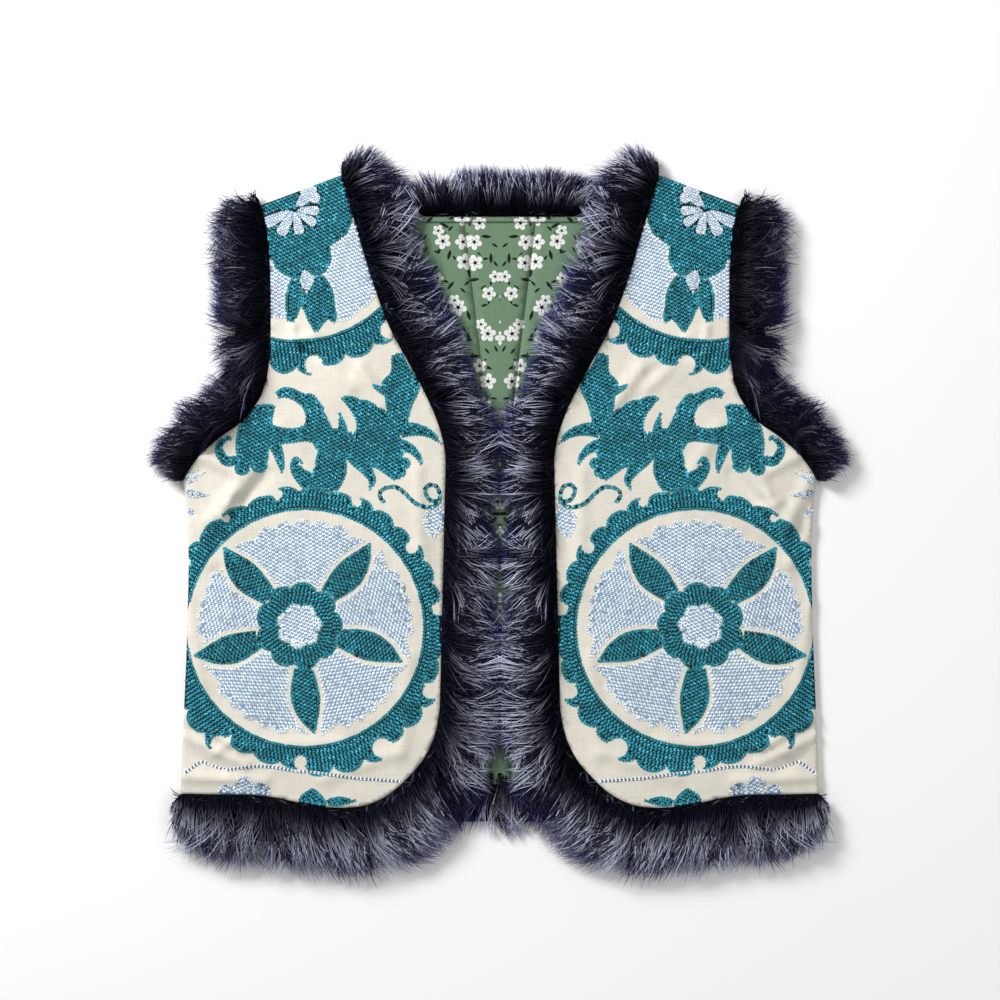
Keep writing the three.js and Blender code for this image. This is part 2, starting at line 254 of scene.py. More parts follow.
def distance_to_open(points, line):
    """Distance of points to an open line."""
    a, run = line[:-1], np.diff(line, axis=0)
    away = points[:, None] - a
    t = np.clip((away * run).sum(2) / np.maximum((run**2).sum(1), 1e-9), 0, 1)
    away -= t[..., None] * run
    return np.hypot(away[..., 0], away[..., 1]).min(1)


def soft_noise(points, size, seed):
    """Smooth noise over the cloth, from about -1 to 1."""
    return np.array([noise.noise((x / size, y / size, seed)) for x, y in points])


# ---- Meshes ------------------------------------------------------------------------------


def mesh_object(name, points, faces, side=LEFT, uv=None):
    """An object from arrays of points in mm and triangles, mirrored for the right side."""
    places = np.asarray(points, float) * MM
    places[:, 0] *= side
    corners = np.asarray(faces, np.int32)[:, ::side]
    mesh = bpy.data.meshes.new(name)
    mesh.vertices.add(len(places))
    mesh.vertices.foreach_set("co", places.astype(np.float32).ravel())
    mesh.loops.add(corners.size)
    mesh.loops.foreach_set("vertex_index", corners.ravel())
    mesh.polygons.add(len(corners))
    mesh.polygons.foreach_set("loop_start", np.arange(0, corners.size, 3, dtype=np.int32))
    mesh.update(calc_edges=True)
    mesh.shade_smooth()
    if uv is not None:
        layer = mesh.uv_layers.new(name="OFBake")
        layer.uv.foreach_set("vector", uv[corners.ravel()].astype(np.float32).ravel())
    made = bpy.data.objects.new(name, mesh)
    bpy.context.scene.collection.objects.link(made)
    return made


def finished(made, material, nodes=()):
    """Gives a piece its material and body, and hides the CAD nodes that it stands for."""
    made.data.materials.append(material)
    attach(made, "root")
    if nodes:
        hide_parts(*nodes)
    return made


class Levels:
    """The level of the top of a CAD node, smoothed, in mm."""

    def __init__(self, node, cell=4.0, passes=6):
        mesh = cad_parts[node].data
        tree = BVHTree.FromPolygons(
            [v.co.copy() for v in mesh.vertices], [tuple(p.vertices) for p in mesh.polygons]
        )
        low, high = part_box(node)
        self.cell, self.origin = cell, np.array([low.x, low.y]) / MM - 2 * cell
        columns = int((high.x - low.x) / MM / cell) + 5
        rows = int((high.y - low.y) / MM / cell) + 5
        grid = np.full((rows, columns), np.nan)
        for j, i in np.ndindex(rows, columns):
            x, y = self.origin + np.array([i, j]) * cell
            hit = tree.ray_cast(Vector((x * MM, y * MM, 1)), Vector((0, 0, -1)))[0]
            if hit is not None:
                grid[j, i] = hit.z / MM
        while np.isnan(grid).any():
            around = self.shifted(grid)
            filled = np.nanmean(around, axis=0) if np.isnan(around).any() else around.mean(0)
            grid = np.where(np.isnan(grid), filled, grid)
        for _ in range(passes):
            grid = self.shifted(grid).mean(0)
        self.grid = grid

    @staticmethod
    def shifted(grid):
        """The grid with its four neighbours, its edge repeated."""
        wide = np.pad(grid, 1, mode="edge")
        return np.stack(
            [grid, wide[:-2, 1:-1], wide[2:, 1:-1], wide[1:-1, :-2], wide[1:-1, 2:]]
        )

    def at(self, points):
        """Levels over points, between the cells."""
        place = (points - self.origin) / self.cell
        top = np.array(self.grid.shape)[::-1] - 1.001
        place = np.clip(place, 0, top)
        cell = place.astype(int)
        (fx, fy), (i, j) = (place - cell).T, cell.T
        g = self.grid
        low = g[j, i] * (1 - fx) + g[j, i + 1] * fx
        high = g[j + 1, i] * (1 - fx) + g[j + 1, i + 1] * fx
        return low * (1 - fy) + high * fy


def fill_outline(ring, step):
    """Points and triangles that fill a closed line with an even net."""
    low, high = ring.min(0), ring.max(0)
    rows = np.arange(low[1], high[1], step * 0.87)
    net = [
        (x, y)
        for k, y in enumerate(rows)
        for x in np.arange(low[0] + (k % 2) * step / 2, high[0], step)
    ]
    net = np.array(net)
    net = net[signed_distance(net, ring) < -0.55 * step]
    points = np.vstack([ring, net])
    edges = [(i, (i + 1) % len(ring)) for i in range(len(ring))]
    found = geometry.delaunay_2d_cdt([Vector(p) for p in points], edges, [], 1, 1e-5)
    return np.array([tuple(p) for p in found[0]]), np.array(found[2], np.int32)


def cloth_piece(name, ring, step, level, thick, side=LEFT):
    """A piece of cloth with its top at level(points), given its thickness downwards."""
    points, faces = fill_outline(ring, step)
    corner = points[faces]
    (ax, ay), (bx, by) = (corner[:, 1] - corner[:, 0]).T, (corner[:, 2] - corner[:, 0]).T
    faces[ax * by < ay * bx] = faces[ax * by < ay * bx][:, ::-1]
    top = np.column_stack([points, level(points)])
    made = mesh_object(name, top, faces, side)
    shape = bmesh.new()
    shape.from_mesh(made.data)
    bmesh.ops.solidify(shape, geom=shape.faces[:], thickness=thick * MM)
    bmesh.ops.recalc_face_normals(shape, faces=shape.faces[:])
    for face in shape.faces:
        face.smooth = True
    shape.to_mesh(made.data)
    shape.free()
    return made


# ---- Nodes -------------------------------------------------------------------------------


def add_node(tree, kind, inputs=None, **settings):
    """A node with its settings, and its inputs linked or set."""
    made = tree.nodes.new("ShaderNode" + kind)
    for key, value in settings.items():
        setattr(made, key, value)
    for key, value in (inputs or {}).items():
        if isinstance(value, bpy.types.NodeSocket):
            tree.links.new(value, made.inputs[key])
        else:
            made.inputs[key].default_value = value
    return made


def add_math(tree, operation, *values, clamp=False):
    """The result of a Math node."""
    inputs = dict(enumerate(values))
    return add_node(tree, "Math", inputs, operation=operation, use_clamp=clamp).outputs[0]


def add_mix(tree, share, a, b):
    """The result of a colour Mix node: a at share 0, b at share 1."""
    return add_node(tree, "Mix", {0: share, 6: a, 7: b}, data_type="RGBA").outputs[2]


def add_ramp(tree, value, stops):
    """The colour of a ramp with stops (place, colour)."""
    made = add_node(tree, "ValToRGB", {0: value})
    ramp = made.color_ramp
    while len(ramp.elements) < len(stops):
        ramp.elements.new(0.5)
    for element, (place, colour) in zip(ramp.elements, stops):
        element.position, element.color = place, (*colour[:3], 1)
    return made.outputs[0]


def rgb(colour, k=1.0):
    """A colour with its alpha, scaled."""
    return (colour[0] * k, colour[1] * k, colour[2] * k, 1)


def new_material(name, roughness, specular=0.3, sheen=0.0):
    """A material with its shader, and the node tree to draw on."""
    made = bpy.data.materials.new(name)
    made.use_nodes = True
    tree = made.node_tree
    shader = tree.nodes["Principled BSDF"]
    shader.inputs["Roughness"].default_value = roughness
    shader.inputs["Specular IOR Level"].default_value = specular
    shader.inputs["Sheen Weight"].default_value = sheen
    return made, tree, shader


def plain_weave_group():
    """Node group: the threads of a plain weave, with its slubs, over Object coordinates."""
    name = "Plain weave"
    if name in bpy.data.node_groups:
        return bpy.data.node_groups[name]
    tree = bpy.data.node_groups.new(name, "ShaderNodeTree")
    for label, default in (("Threads per metre", 1700.0), ("Slub", 0.5)):
        socket = tree.interface.new_socket(label, in_out="INPUT", socket_type="NodeSocketFloat")
        socket.default_value = default
    for label in ("Height", "Shade"):
        tree.interface.new_socket(label, in_out="OUTPUT", socket_type="NodeSocketFloat")
    given = tree.nodes.new("NodeGroupInput")
    put = tree.nodes.new("NodeGroupOutput")
    place = add_node(tree, "TexCoord").outputs["Object"]
    part = add_node(tree, "SeparateXYZ", {0: place})
    turns = add_math(tree, "MULTIPLY", given.outputs[0], math.pi)
    waves = []
    for axis in (0, 1):
        angle = add_math(tree, "MULTIPLY", part.outputs[axis], turns)
        waves.append(add_math(tree, "ABSOLUTE", add_math(tree, "SINE", angle)))
    threads = add_math(tree, "MAXIMUM", *waves)
    slubs = []
    for stretch in ((60, 900, 1), (900, 60, 1)):
        spot = add_node(tree, "Mapping", {0: place, "Scale": stretch}).outputs[0]
        grain = add_node(tree, "TexNoise", {"Vector": spot, "Scale": 1.0, "Detail": 2.0})
        slubs.append(grain.outputs[0])
    slub = add_math(tree, "MULTIPLY", add_math(tree, "ADD", *slubs), 0.5)
    uneven = add_math(tree, "MULTIPLY", slub, given.outputs[1])
    tree.links.new(add_math(tree, "ADD", threads, uneven), put.inputs[0])
    tree.links.new(slub, put.inputs[1])
    return tree


def add_weave(tree, shader, threads, slub, strength, distance):
    """Puts the plain weave on a shader's normal and returns its shade."""
    weave = tree.nodes.new("ShaderNodeGroup")
    weave.node_tree = plain_weave_group()
    weave.inputs[0].default_value = threads
    weave.inputs[1].default_value = slub
    bump = add_node(
        tree,
        "Bump",
        {"Height": weave.outputs[0], "Strength": strength, "Distance": distance},
    )
    tree.links.new(bump.outputs[0], shader.inputs["Normal"])
    return weave.outputs[1]


# ---- Settings ----------------------------------------------------------------------------


def colour_property(name, description, default):
    return bpy.props.FloatVectorProperty(
        name=name, description=description, default=default, subtype="COLOR", min=0, max=1
    )


def length_property(name, description, default):
    return bpy.props.FloatProperty(
        name=name, description=description, default=default, unit="LENGTH", min=0
    )


class WaistcoatCloth(bpy.types.PropertyGroup):
    """Sizes and colours of the cotton and its printed lining."""

    cotton: colour_property("Cotton", "Ground cloth of the fronts and back", (0.715, 0.68, 0.59))
    green: colour_property("Lining", "Ground colour of the print", (0.135, 0.222, 0.138))
    blossom: colour_property("Blossom", "Petals of the print", (0.70, 0.71, 0.68))
    net: length_property("Net", "Spacing of the mesh of a front", 0.003)
    repeat: length_property("Blossom spacing", "Mean distance between blossoms", 0.0188)


class WaistcoatThread(bpy.types.PropertyGroup):
    """Sizes and colours of the embroidery thread, with the colours of its painted shade."""

    teal: colour_property("Teal", "Main thread, lit crown", (0.010, 0.35, 0.47))
    # Painted shade of the main thread: the foot of each strand and the cotton showing between its stitches.
    teal_shade: colour_property("Deep teal", "Main thread, sunk parts", (0.0, 0.014, 0.024))
    pale: colour_property("Pale blue", "Second thread, lit crown", (0.88, 0.97, 1.0))
    # Painted shade of the second thread: the foot of each strand and the cotton showing between its
    # stitches.
    pale_shade: colour_property("Denim", "Second thread, sunk parts", (0.17, 0.27, 0.41))
    pitch: length_property("Stitch", "Length that one stitch takes up in its row", 0.0031)
    row: length_property("Row", "Distance between rows of stitches", 0.0027)


class WaistcoatFur(bpy.types.PropertyGroup):
    """Sizes and colours of the fur."""

    # The root colour is near black: dark roots, with painted shade far down in the fur.
    root: colour_property("Root", "Colour at the skin", (0.001, 0.001, 0.003))
    shaft: colour_property("Shaft", "Colour of the dark hairs", (0.006, 0.007, 0.030))
    fringe: colour_property("Fringe", "Tips of the dark hairs", (0.050, 0.042, 0.27))
    # The pale tip colour is partly the fur's pale tips and partly painted highlight on glossy locks.
    tip: colour_property("Tip", "Colour of the pale tips", (0.62, 0.65, 0.83))
    thick: length_property("Hair thickness", "Width of a lock of hair at its root", 0.00088)


class WaistcoatStage(bpy.types.PropertyGroup):
    """The floor, light and camera."""

    floor: colour_property("Floor", "Colour of the floor", (0.93, 0.93, 0.93))
    across: length_property("View", "Width of the view at the garment", 0.8)
    lens: bpy.props.FloatProperty(
        name="Lens", description="Focal length in mm", default=85.0, min=1.0
    )


# ---- Embroidery: the motifs --------------------------------------------------------------


def polar_ring(centre, radius, count=180):
    """A closed line at radius(angle) round a centre, anticlockwise."""
    angle = np.linspace(0, 2 * math.pi, count, endpoint=False)
    reach = radius(angle) + 0 * angle
    return centre + np.stack([np.cos(angle) * reach, np.sin(angle) * reach], 1)


def smooth_line(points, count):
    """Points along a Catmull-Rom curve through a few columns of numbers."""
    p = np.asarray(points, float)
    p = np.vstack([2 * p[0] - p[1], p, 2 * p[-1] - p[-2]])
    t = np.linspace(0, len(p) - 3 - 1e-6, count)
    k = t.astype(int)
    f = (t - k)[:, None]
    a, b, c, d = p[k], p[k + 1], p[k + 2], p[k + 3]
    curve = 2 * b + (c - a) * f + (2 * a - 5 * b + 4 * c - d) * f**2
    return 0.5 * (curve + (3 * b - a - 3 * c + d) * f**3)


def blade(rows, lobes=0, depth=0.0, lobed="both"):
    """A leaf along a spine of rows (x, y, width), with lobes on one side or both."""
    count = max(24, 10 * lobes)
    line = smooth_line(rows, count)
    spine, half = line[:, :2], np.maximum(line[:, 2], 0.3) / 2
    heading = np.gradient(spine, axis=0)
    heading /= np.hypot(*heading.T)[:, None] + 1e-9
    square = np.stack([-heading[:, 1], heading[:, 0]], 1)
    share = np.linspace(0, 1, count)
    bumps = depth * np.sqrt(np.abs(np.sin(math.pi * lobes * share))) if lobes else 0 * share
    left = half + (bumps if lobed in ("both", "left") else 0)
    right = half + (bumps if lobed in ("both", "right") else 0)
    return np.vstack([spine + square * left[:, None], (spine - square * right[:, None])[::-1]])


def disc(x, y, radius):
    return polar_ring((x, y), lambda a: radius, 40)


def patch(thread, rings, holes=(), rows=("lattice", 98), tone=0.0, gap=0.4, size=1.0, bare=True):
    """A stitched shape: its rings and holes, its rows, the gap round it, whether the cotton is
    bare there, and the size of its stitches."""
    return {
        "thread": thread, "rings": rings, "holes": holes, "rows": rows, "tone": tone, "gap": gap,
        "size": size, "bare": bare,
    }


def patch_distance(points, drawn):
    """Distance of points to the edge of a patch, below zero inside it."""
    away = np.min([signed_distance(points, ring) for ring in drawn["rings"]], axis=0)
    for hole in drawn["holes"]:
        away = np.maximum(away, -signed_distance(points, hole))
    return away


# Leaf scrolls between the wheels: rows of (x, y, width), then lobes, depth and lobed side.
SCROLLS = (
    (((179, 90.5, 6), (171, 93, 9), (161, 88, 11), (152, 83, 14), (147, 75, 17)), 0, 0, "both"),
    (
        ((153, 86, 13), (148, 72, 18), (142, 60, 18), (136, 48, 19),
         (135, 32, 25), (140, 18, 20), (147, 9, 3)),
        6, 1.8, "left",
    ),
    (((181, 83, 3), (192, 72, 24), (198, 55, 27), (198, 40, 25), (198, 33, 20)), 0, 0, "both"),
    (((190, 60, 18), (172, 58, 13), (156, 60, 13), (142, 58, 16)), 0, 0, "both"),
    (
        ((209, 39, 8), (218.7, 38, 8), (224.7, 45.5, 7.3),
         (224, 52, 5.5), (217.5, 56.8, 3.5), (213.5, 52, 1)),
        0, 0, "both",
    ),
    (((182, 56, 12), (176, 39, 7), (174, 26, 1)), 0, 0, "both"),
    (
        ((148, 16, 15), (158.5, 25, 11.5), (164, 32, 8),
         (163.5, 38.8, 5.5), (157.3, 37.2, 1.5)),
        3, 1.5, "left",
    ),
    (((135, 57.5, 12), (126.5, 61.5, 8.5), (126.8, 69.5, 5), (129, 78.5, 0.8)), 0, 0, "both"),
    (
        ((127.3, 88.8, 1), (114, 81, 13), (104.5, 71, 25), (100.5, 61, 36),
         (97, 50, 38), (89, 38, 24), (82, 23, 5)),
        7, 2.0, "right",
    ),
    (((124, 53, 12), (114.5, 40, 12), (105.3, 29.5, 8), (102, 21.5, 5), (104.5, 15, 0.8)), 3, 0.8, "left"),
    (((133, 52, 12), (124, 51, 15), (116, 54, 18)), 0, 0, "both"),
    (
        ((82.3, 124.5, 8), (79.5, 113, 13), (78.5, 100, 29),
         (80, 84, 20), (81, 70, 14), (88, 62, 16)),
        4, 1.6, "left",
    ),
    (((88, 92, 9), (96, 95.5, 5), (102, 98.8, 2)), 0, 0, "both"),
    (((79, 63, 13), (65.5, 63, 9.5), (54.5, 58.8, 6), (45.5, 50.8, 1)), 0, 0, "both"),
    (((84, 52, 12), (72, 48, 8), (65.5, 41.5, 5), (61.3, 32, 0.8)), 0, 0, "both"),
)
SCROLL_LOBES = (
    (206, 33, 6.5), (192.5, 35, 6.5), (153.3, 84, 8.2), (76.5, 36, 4.8), (79.5, 29, 4.2), (109, 83, 4),
)
SCROLL_EYE = ((178.5, 84, 8), (171, 80, 17), (165, 72, 19), (169.5, 65.5, 3))
HEM_LEAVES = (
    (((150.5, -241, 21), (150.5, -232, 19), (150, -224, 1)), 2, 1.2, "both"),
    (((141, -236, 4), (129, -234.5, 8), (115, -234, 1)), 0, 0, "both"),
)
BURSTS = (
    ((252, 22, 6), (245, 24, 4.5), (236, 29.5, 1)),
    ((252, 27, 5), (247, 29, 3), (241, 31, 1)),
    ((252, 12.5, 7.5), (243, 11, 5.5), (231.5, 11, 1)),
    ((250, -1, 7), (246.5, -4, 5), (244, -7, 1.5)),
)
# Lines of single chain stitches: the tendril, and the line above the hem.
TENDRIL = (
    (92.8, 4.8), (96.5, 10.5), (93.5, 15.5), (84, 17.3), (76, 12.2), (69.5, 5.5), (61.5, 1.5),
    (53.5, 1.5), (48.3, 8), (50.5, 17.3), (57.5, 18.8), (60, 13.5), (56, 6.8), (48, 5.5),
)
HEM_LINE = (
    (253, -212.5), (246.7, -207.9), (238.7, -203.2), (229.3, -206.5), (220, -209.2),
    (209.3, -207.9), (196, -206.5), (181.3, -207.2), (165.3, -209.9), (149.3, -211.2),
    (133.3, -213.2), (116, -215.9), (98.7, -217.2), (80, -218.5),
)

# A toothed ring: its centre, inner radius, and leaves of (angle of hook, height, eye radius).
WHEEL = {
    "centre": (156.0, -95.6), "inner": 94.5,
    "leaves": (
        (28, 21, 4), (54, 18.5, 2.6), (78, 20, 3.2), (112, 19.5, 3.2), (142, 19, 4.8), (171, 20, 5),
        (206, 25, 5.8), (236, 28, 7.6), (271, 19.5, 5), (305, 29, 7), (336, 24, 5),
    ),
}
SHOULDER_WHEEL = {
    "centre": (163.0, 232.0), "inner": 97.0,
    "leaves": (
        (10, 24, 5), (60, 24, 5), (120, 24, 5), (196, 26, 6), (229, 27, 7), (262, 29, 7.2),
        (301, 26, 6), (335, 24, 5),
    ),
}
HEM_ROSETTE = ((204.7, -222, 8), (218.5, -227.5, 7), (191.5, -226.5, 7.4), (205, -232, 12))
BUD = ((50.5, 2, 7), (52.5, -10, 17), (54, -23, 5))
FINE = 0.72  # size of the stitches in the smallest motifs
PETAL_ANGLES = (45, 132, 198, 263, 343)  # of the wheel flower, degrees


def ring_outer(angle, wheel):
    """Outer radius of a toothed ring: each leaf climbs in scallops to the tip of its hook."""
    hooks, heights, _ = np.array(wheel["leaves"], float).T
    turn = np.degrees(angle) % 360
    own = (np.searchsorted(hooks, turn, side="right") - 1) % len(hooks)
    start = hooks[(own + 1) % len(hooks)]
    span = (start - hooks[own]) % 360
    share = ((start - turn) % 360) / span
    lobes = np.round(span / 10.5)
    climb = 0.3 + 0.28 * np.clip(share / 0.08, 0, 1) + 0.14 * share
    scallop = np.sqrt(np.abs(np.sin(math.pi * (lobes - 0.22) * share)))
    return wheel["inner"] + heights[own] * climb + 0.28 * heights[own] * scallop


def toothed_ring(wheel):
    """The patch of a toothed ring, with the eye that turns each leaf's end into a hook."""
    centre = np.array(wheel["centre"])
    outer = polar_ring(centre, lambda a: ring_outer(a, wheel), 900)
    eyes = [disc(*centre, wheel["inner"])]
    for hook, height, eye in wheel["leaves"]:
        reach = wheel["inner"] + height - 0.75 * eye - 3.0
        angle = math.radians(hook) + 0.35 * eye / reach
        eyes.append(disc(centre[0] + reach * math.cos(angle), centre[1] + reach * math.sin(angle), eye))
    return patch("teal", [outer], eyes, rows=("arcs", centre))


def ray_blade(centre, degrees, rows):
    """A blade along a ray from a centre: rows of (reach, shift to the left, width)."""
    angle = math.radians(degrees)
    along = np.array([math.cos(angle), math.sin(angle)])
    square = np.array([-along[1], along[0]])
    return blade([(*(centre + along * r + square * s), w) for r, s, w in rows])


def fan_reach(share):
    """Outer radius of a fan between two petals: wings at its ends, scallops between."""
    wing = np.clip((np.abs(2 * share - 1) - 0.6) / 0.32, 0, 1)
    scallop = np.sqrt(np.abs(np.sin(math.pi * 5 * np.clip((share - 0.2) / 0.6, 0, 1))))
    return 80.5 + 6.5 * scallop + 6.5 * wing


def wheel_patches(wheel):
    """The wheel flower, top layer first."""
    middle = np.array(wheel["centre"])
    centre = middle + [4.8, 1.6]
    star = polar_ring(centre, lambda a: 12.2 + 5.4 * np.sqrt(np.abs(np.sin(3.5 * a + 0.4))))
    rosette = polar_ring(centre, lambda a: 29.5 + 5.6 * np.sqrt(np.abs(np.sin(4.5 * a + 0.2))))
    patches = [
        patch("pale", [star], rows=("lattice", 80), tone=0.1),
        patch("teal", [rosette], rows=("arcs", centre), tone=-0.08),
    ]
    for degrees in PETAL_ANGLES:
        bend = 2.0 if degrees in (132, 263) else -2.0
        rows = ((26, 0, 9), (38, bend / 2, 17), (56, bend, 23.5), (72, bend / 2, 17), (88, -bend, 0.6))
        petal = ray_blade(centre, degrees, rows)
        patches.append(patch("teal", [petal], rows=("lattice", degrees), tone=-0.1, gap=3.0))
    tops = np.radians(sorted(PETAL_ANGLES))
    for first, second in zip(tops, np.roll(tops, -1)):
        span = (second - first) % (2 * math.pi)
        share = np.linspace(0.03, 0.97, 100)
        angle = first + share * span
        outer = middle + fan_reach(share)[:, None] * np.stack([np.cos(angle), np.sin(angle)], 1)
        inner = centre + 27 * np.stack([np.cos(angle), np.sin(angle)], 1)[::-1]
        way = math.degrees(first + span / 2)
        patches.append(patch("pale", [np.vstack([outer, inner])], rows=("lattice", way)))
    return [*patches, toothed_ring(wheel)]


def shoulder_patches(wheel):
    """The wheel that the shoulder seam cuts through, top layer first."""
    heart = np.array([164.5, 239.6])
    petals = [
        ray_blade(
            heart, way, ((2, 0, 2), (reach / 2, 0, 0.75 * wide), (reach, 0, wide), (reach + 2.5, 0, 3))
        )
        for way, reach, wide in (
            (132, 16, 9), (184, 17, 7), (216, 18, 7), (258, 18, 7.5), (299, 21, 8.5), (334, 24, 9),
        )
    ]
    ends = [disc(151.5, 255.5, 4.6), disc(148.5, 249, 4.4), disc(157.5, 257, 4.4)]
    drop = blade(((157.3, 191, 2), (154.7, 183, 11), (154.5, 172.5, 1)))

    def ground_reach(angle):
        """Radius of the teal ground: scalloped, and cut back towards the front edge."""
        scallop = 4.5 * np.sqrt(np.abs(np.sin(4.0 * angle + 0.35)))
        return 35.5 + scallop + 5 * np.sin(angle) ** 2 - 11 * np.exp(-(((angle - 3.75) / 0.42) ** 2))

    ground = polar_ring((157, 228), ground_reach)
    leaves = [
        blade(((160, 194, 3), (164.5, 176, 12), (166, 161, 12), (167.5, 149.5, 6))),
        blade(((156.5, 194, 4), (147.5, 178, 22), (145.5, 162, 27), (147, 149, 13), (147, 141.5, 3))),
        blade(((143, 168, 20), (135, 155, 10), (131.8, 148.5, 2))),
    ]
    near_fan = blade(((170, 197, 26), (176, 180, 22), (178.5, 164, 19), (178, 152, 17)), 3, 1.0)
    apex = np.array([148.5, 196.0])
    span = np.radians(np.linspace(116, 252, 110))
    reach = np.interp(np.degrees(span), [116, 150, 188, 215, 252], [46, 56, 57, 52, 49])
    reach += 2.2 * np.sqrt(np.abs(np.sin(8 * span)))
    far_fan = np.vstack([apex, apex + reach[:, None] * np.stack([np.cos(span), np.sin(span)], 1)])
    return [
        *[patch("pale", [petal], gap=1.4, size=FINE, bare=False) for petal in petals[1:]],
        patch("pale", petals[:1] + ends, gap=1.0, size=FINE, bare=False),
        patch("pale", [drop], rows=("lattice", 90), gap=1.0, size=FINE, bare=False),
        patch("teal", [ground, disc(127, 250, 20), disc(131, 232, 13)], rows=("lattice", 98)),
        patch("teal", leaves, rows=("lattice", 92)),
        patch("pale", [near_fan], rows=("lattice", 90), tone=0.1),
        patch("pale", [far_fan], rows=("lattice", 102), tone=0.12),
        toothed_ring(wheel),
    ]


def all_patches():
    """Every embroidered patch of a front, top layer first."""
    patches = wheel_patches(WHEEL) + shoulder_patches(SHOULDER_WHEEL)
    bud = blade(BUD, 3, 0.8)
    hem_rosette = [disc(*spot) for spot in HEM_ROSETTE]
    scrolls = [blade(*row) for row in SCROLLS] + [disc(*row) for row in SCROLL_LOBES]
    patches += [patch("pale", [bud]), patch("pale", hem_rosette, tone=-0.12)]
    patches += [patch("pale", [blade(rows)], tone=-0.1, size=FINE) for rows in BURSTS]
    patches += [patch("teal", [blade(*row)]) for row in HEM_LEAVES]
    patches.append(patch("teal", scrolls, [blade(SCROLL_EYE)]))
    return patches


# ---- Embroidery: the stitches ------------------------------------------------------------


def row_places(drawn, pitch, row):
    """Places (x, y, heading) of the stitches of the rows over a patch."""
    ring = np.vstack(drawn["rings"])
    low, high = ring.min(0) - row, ring.max(0) + row
    way, value = drawn["rows"]
    if way == "lattice":
        angle = math.radians(value)
        middle, size = (low + high) / 2, np.hypot(*(high - low)) / 2
        along = np.arange(-size, size, pitch)
        across = np.arange(-size, size, row)
        a, b = np.meshgrid(along, np.arange(len(across)))
        a = a + (b % 2) * pitch / 2
        b = across[b]
        x = middle[0] + a * math.cos(angle) - b * math.sin(angle)
        y = middle[1] + a * math.sin(angle) + b * math.cos(angle)
        return np.stack([x.ravel(), y.ravel(), np.full(x.size, angle)], 1)
    found = []
    for k, r in enumerate(np.arange(row / 2, np.hypot(*(ring - value).T).max(), row)):
        count = max(3, int(2 * math.pi * r / pitch))
        angle = 2 * math.pi * (np.arange(count) + (k % 2) / 2) / count
        x, y = value[0] + r * np.cos(angle), value[1] + r * np.sin(angle)
        found.append(np.stack([x, y, angle + math.pi / 2], 1))
    return np.vstack(found)


def edge_places(ring, pitch, inset):
    """Places (x, y, heading) of the stitches just inside a closed line."""
    loop = np.vstack([ring, ring[:1]])
    run = np.concatenate([[0], np.cumsum(np.hypot(*np.diff(loop, axis=0).T))])
    stops = np.arange(0.5, max(3, int(run[-1] / pitch))) * run[-1] / max(3, int(run[-1] / pitch))

    def at(places):
        return np.stack([np.interp(places % run[-1], run, loop[:, i]) for i in (0, 1)], 1)

    heading = np.arctan2(*(at(stops + 0.8) - at(stops - 0.8)).T[::-1])
    square = np.stack([-np.sin(heading), np.cos(heading)], 1)
    area = np.sum(loop[:-1, 0] * loop[1:, 1] - loop[1:, 0] * loop[:-1, 1])
    return np.column_stack([at(stops) + square * inset * np.sign(area), heading])


EDGE_INSET, EDGE_TONE, EDGE_LEAN, EDGE_PITCH = 1.0, -0.06, 12, 0.85
FILL_INSET, FILL_LEAN = 2.0, 25
STITCH_ROOM, GAP_ROOM = 1.6, 2.0  # least distance to another stitch: in a row, in a gap


def plan_stitches(patches, cloth_ring, pitch, row):
    """For each thread, rows of (x, y, heading, tone, size, lean) of the stitches on a front."""
    found = {"teal": [], "pale": []}
    for layer, drawn in enumerate(patches):
        size = drawn["size"]
        inset, step = size * EDGE_INSET, size * EDGE_PITCH * pitch
        rims = [edge_places(ring, step, inset) for ring in drawn["rings"]]
        rims += [edge_places(hole, step, -inset) for hole in drawn["holes"]]
        rim = np.vstack(rims)
        rim = rim[np.abs(patch_distance(rim[:, :2], drawn) + inset) < 0.4]
        parts = [(rim, EDGE_TONE, EDGE_LEAN, STITCH_ROOM)]
        for close, room in ((1, STITCH_ROOM), (2, GAP_ROOM)):
            fill = row_places(drawn, size * pitch / close, size * row / close)
            fill[:, :2] += 0.35 * np.stack([soft_noise(fill[:, :2], 7.0, seed) for seed in (5, 8)], 1)
            fill = fill[patch_distance(fill[:, :2], drawn) < -size * FILL_INSET]
            parts.append((fill, 0, FILL_LEAN, room))
        columns = []
        for part, tone, lean, room in parts:
            own = (drawn["tone"] + tone, size, lean, size * room)
            columns.append(np.column_stack([part, np.full((len(part), 4), own)]))
        both = np.vstack(columns)
        keep = signed_distance(both[:, :2], cloth_ring) < -1.0
        for other in patches[:layer]:
            left = np.flatnonzero(keep)
            keep[left] = patch_distance(both[left, :2], other) > other["gap"]
        found[drawn["thread"]].append(spaced(both[keep])[:, :6])
    return {name: np.vstack(rows) for name, rows in found.items()}


def spaced(places):
    """Drops each place that has an earlier one within its room, its last number."""
    cell, taken, kept = places[:, -1].max(), {}, []
    for k, (x, y, room) in enumerate(places[:, (0, 1, -1)]):
        i, j = int(x // cell), int(y // cell)
        near = [p for a in (-1, 0, 1) for b in (-1, 0, 1) for p in taken.get((i + a, j + b), ())]
        if all(math.hypot(p[0] - x, p[1] - y) > room for p in near):
            taken.setdefault((i, j), []).append((x, y))
            kept.append(k)
    return places[kept]


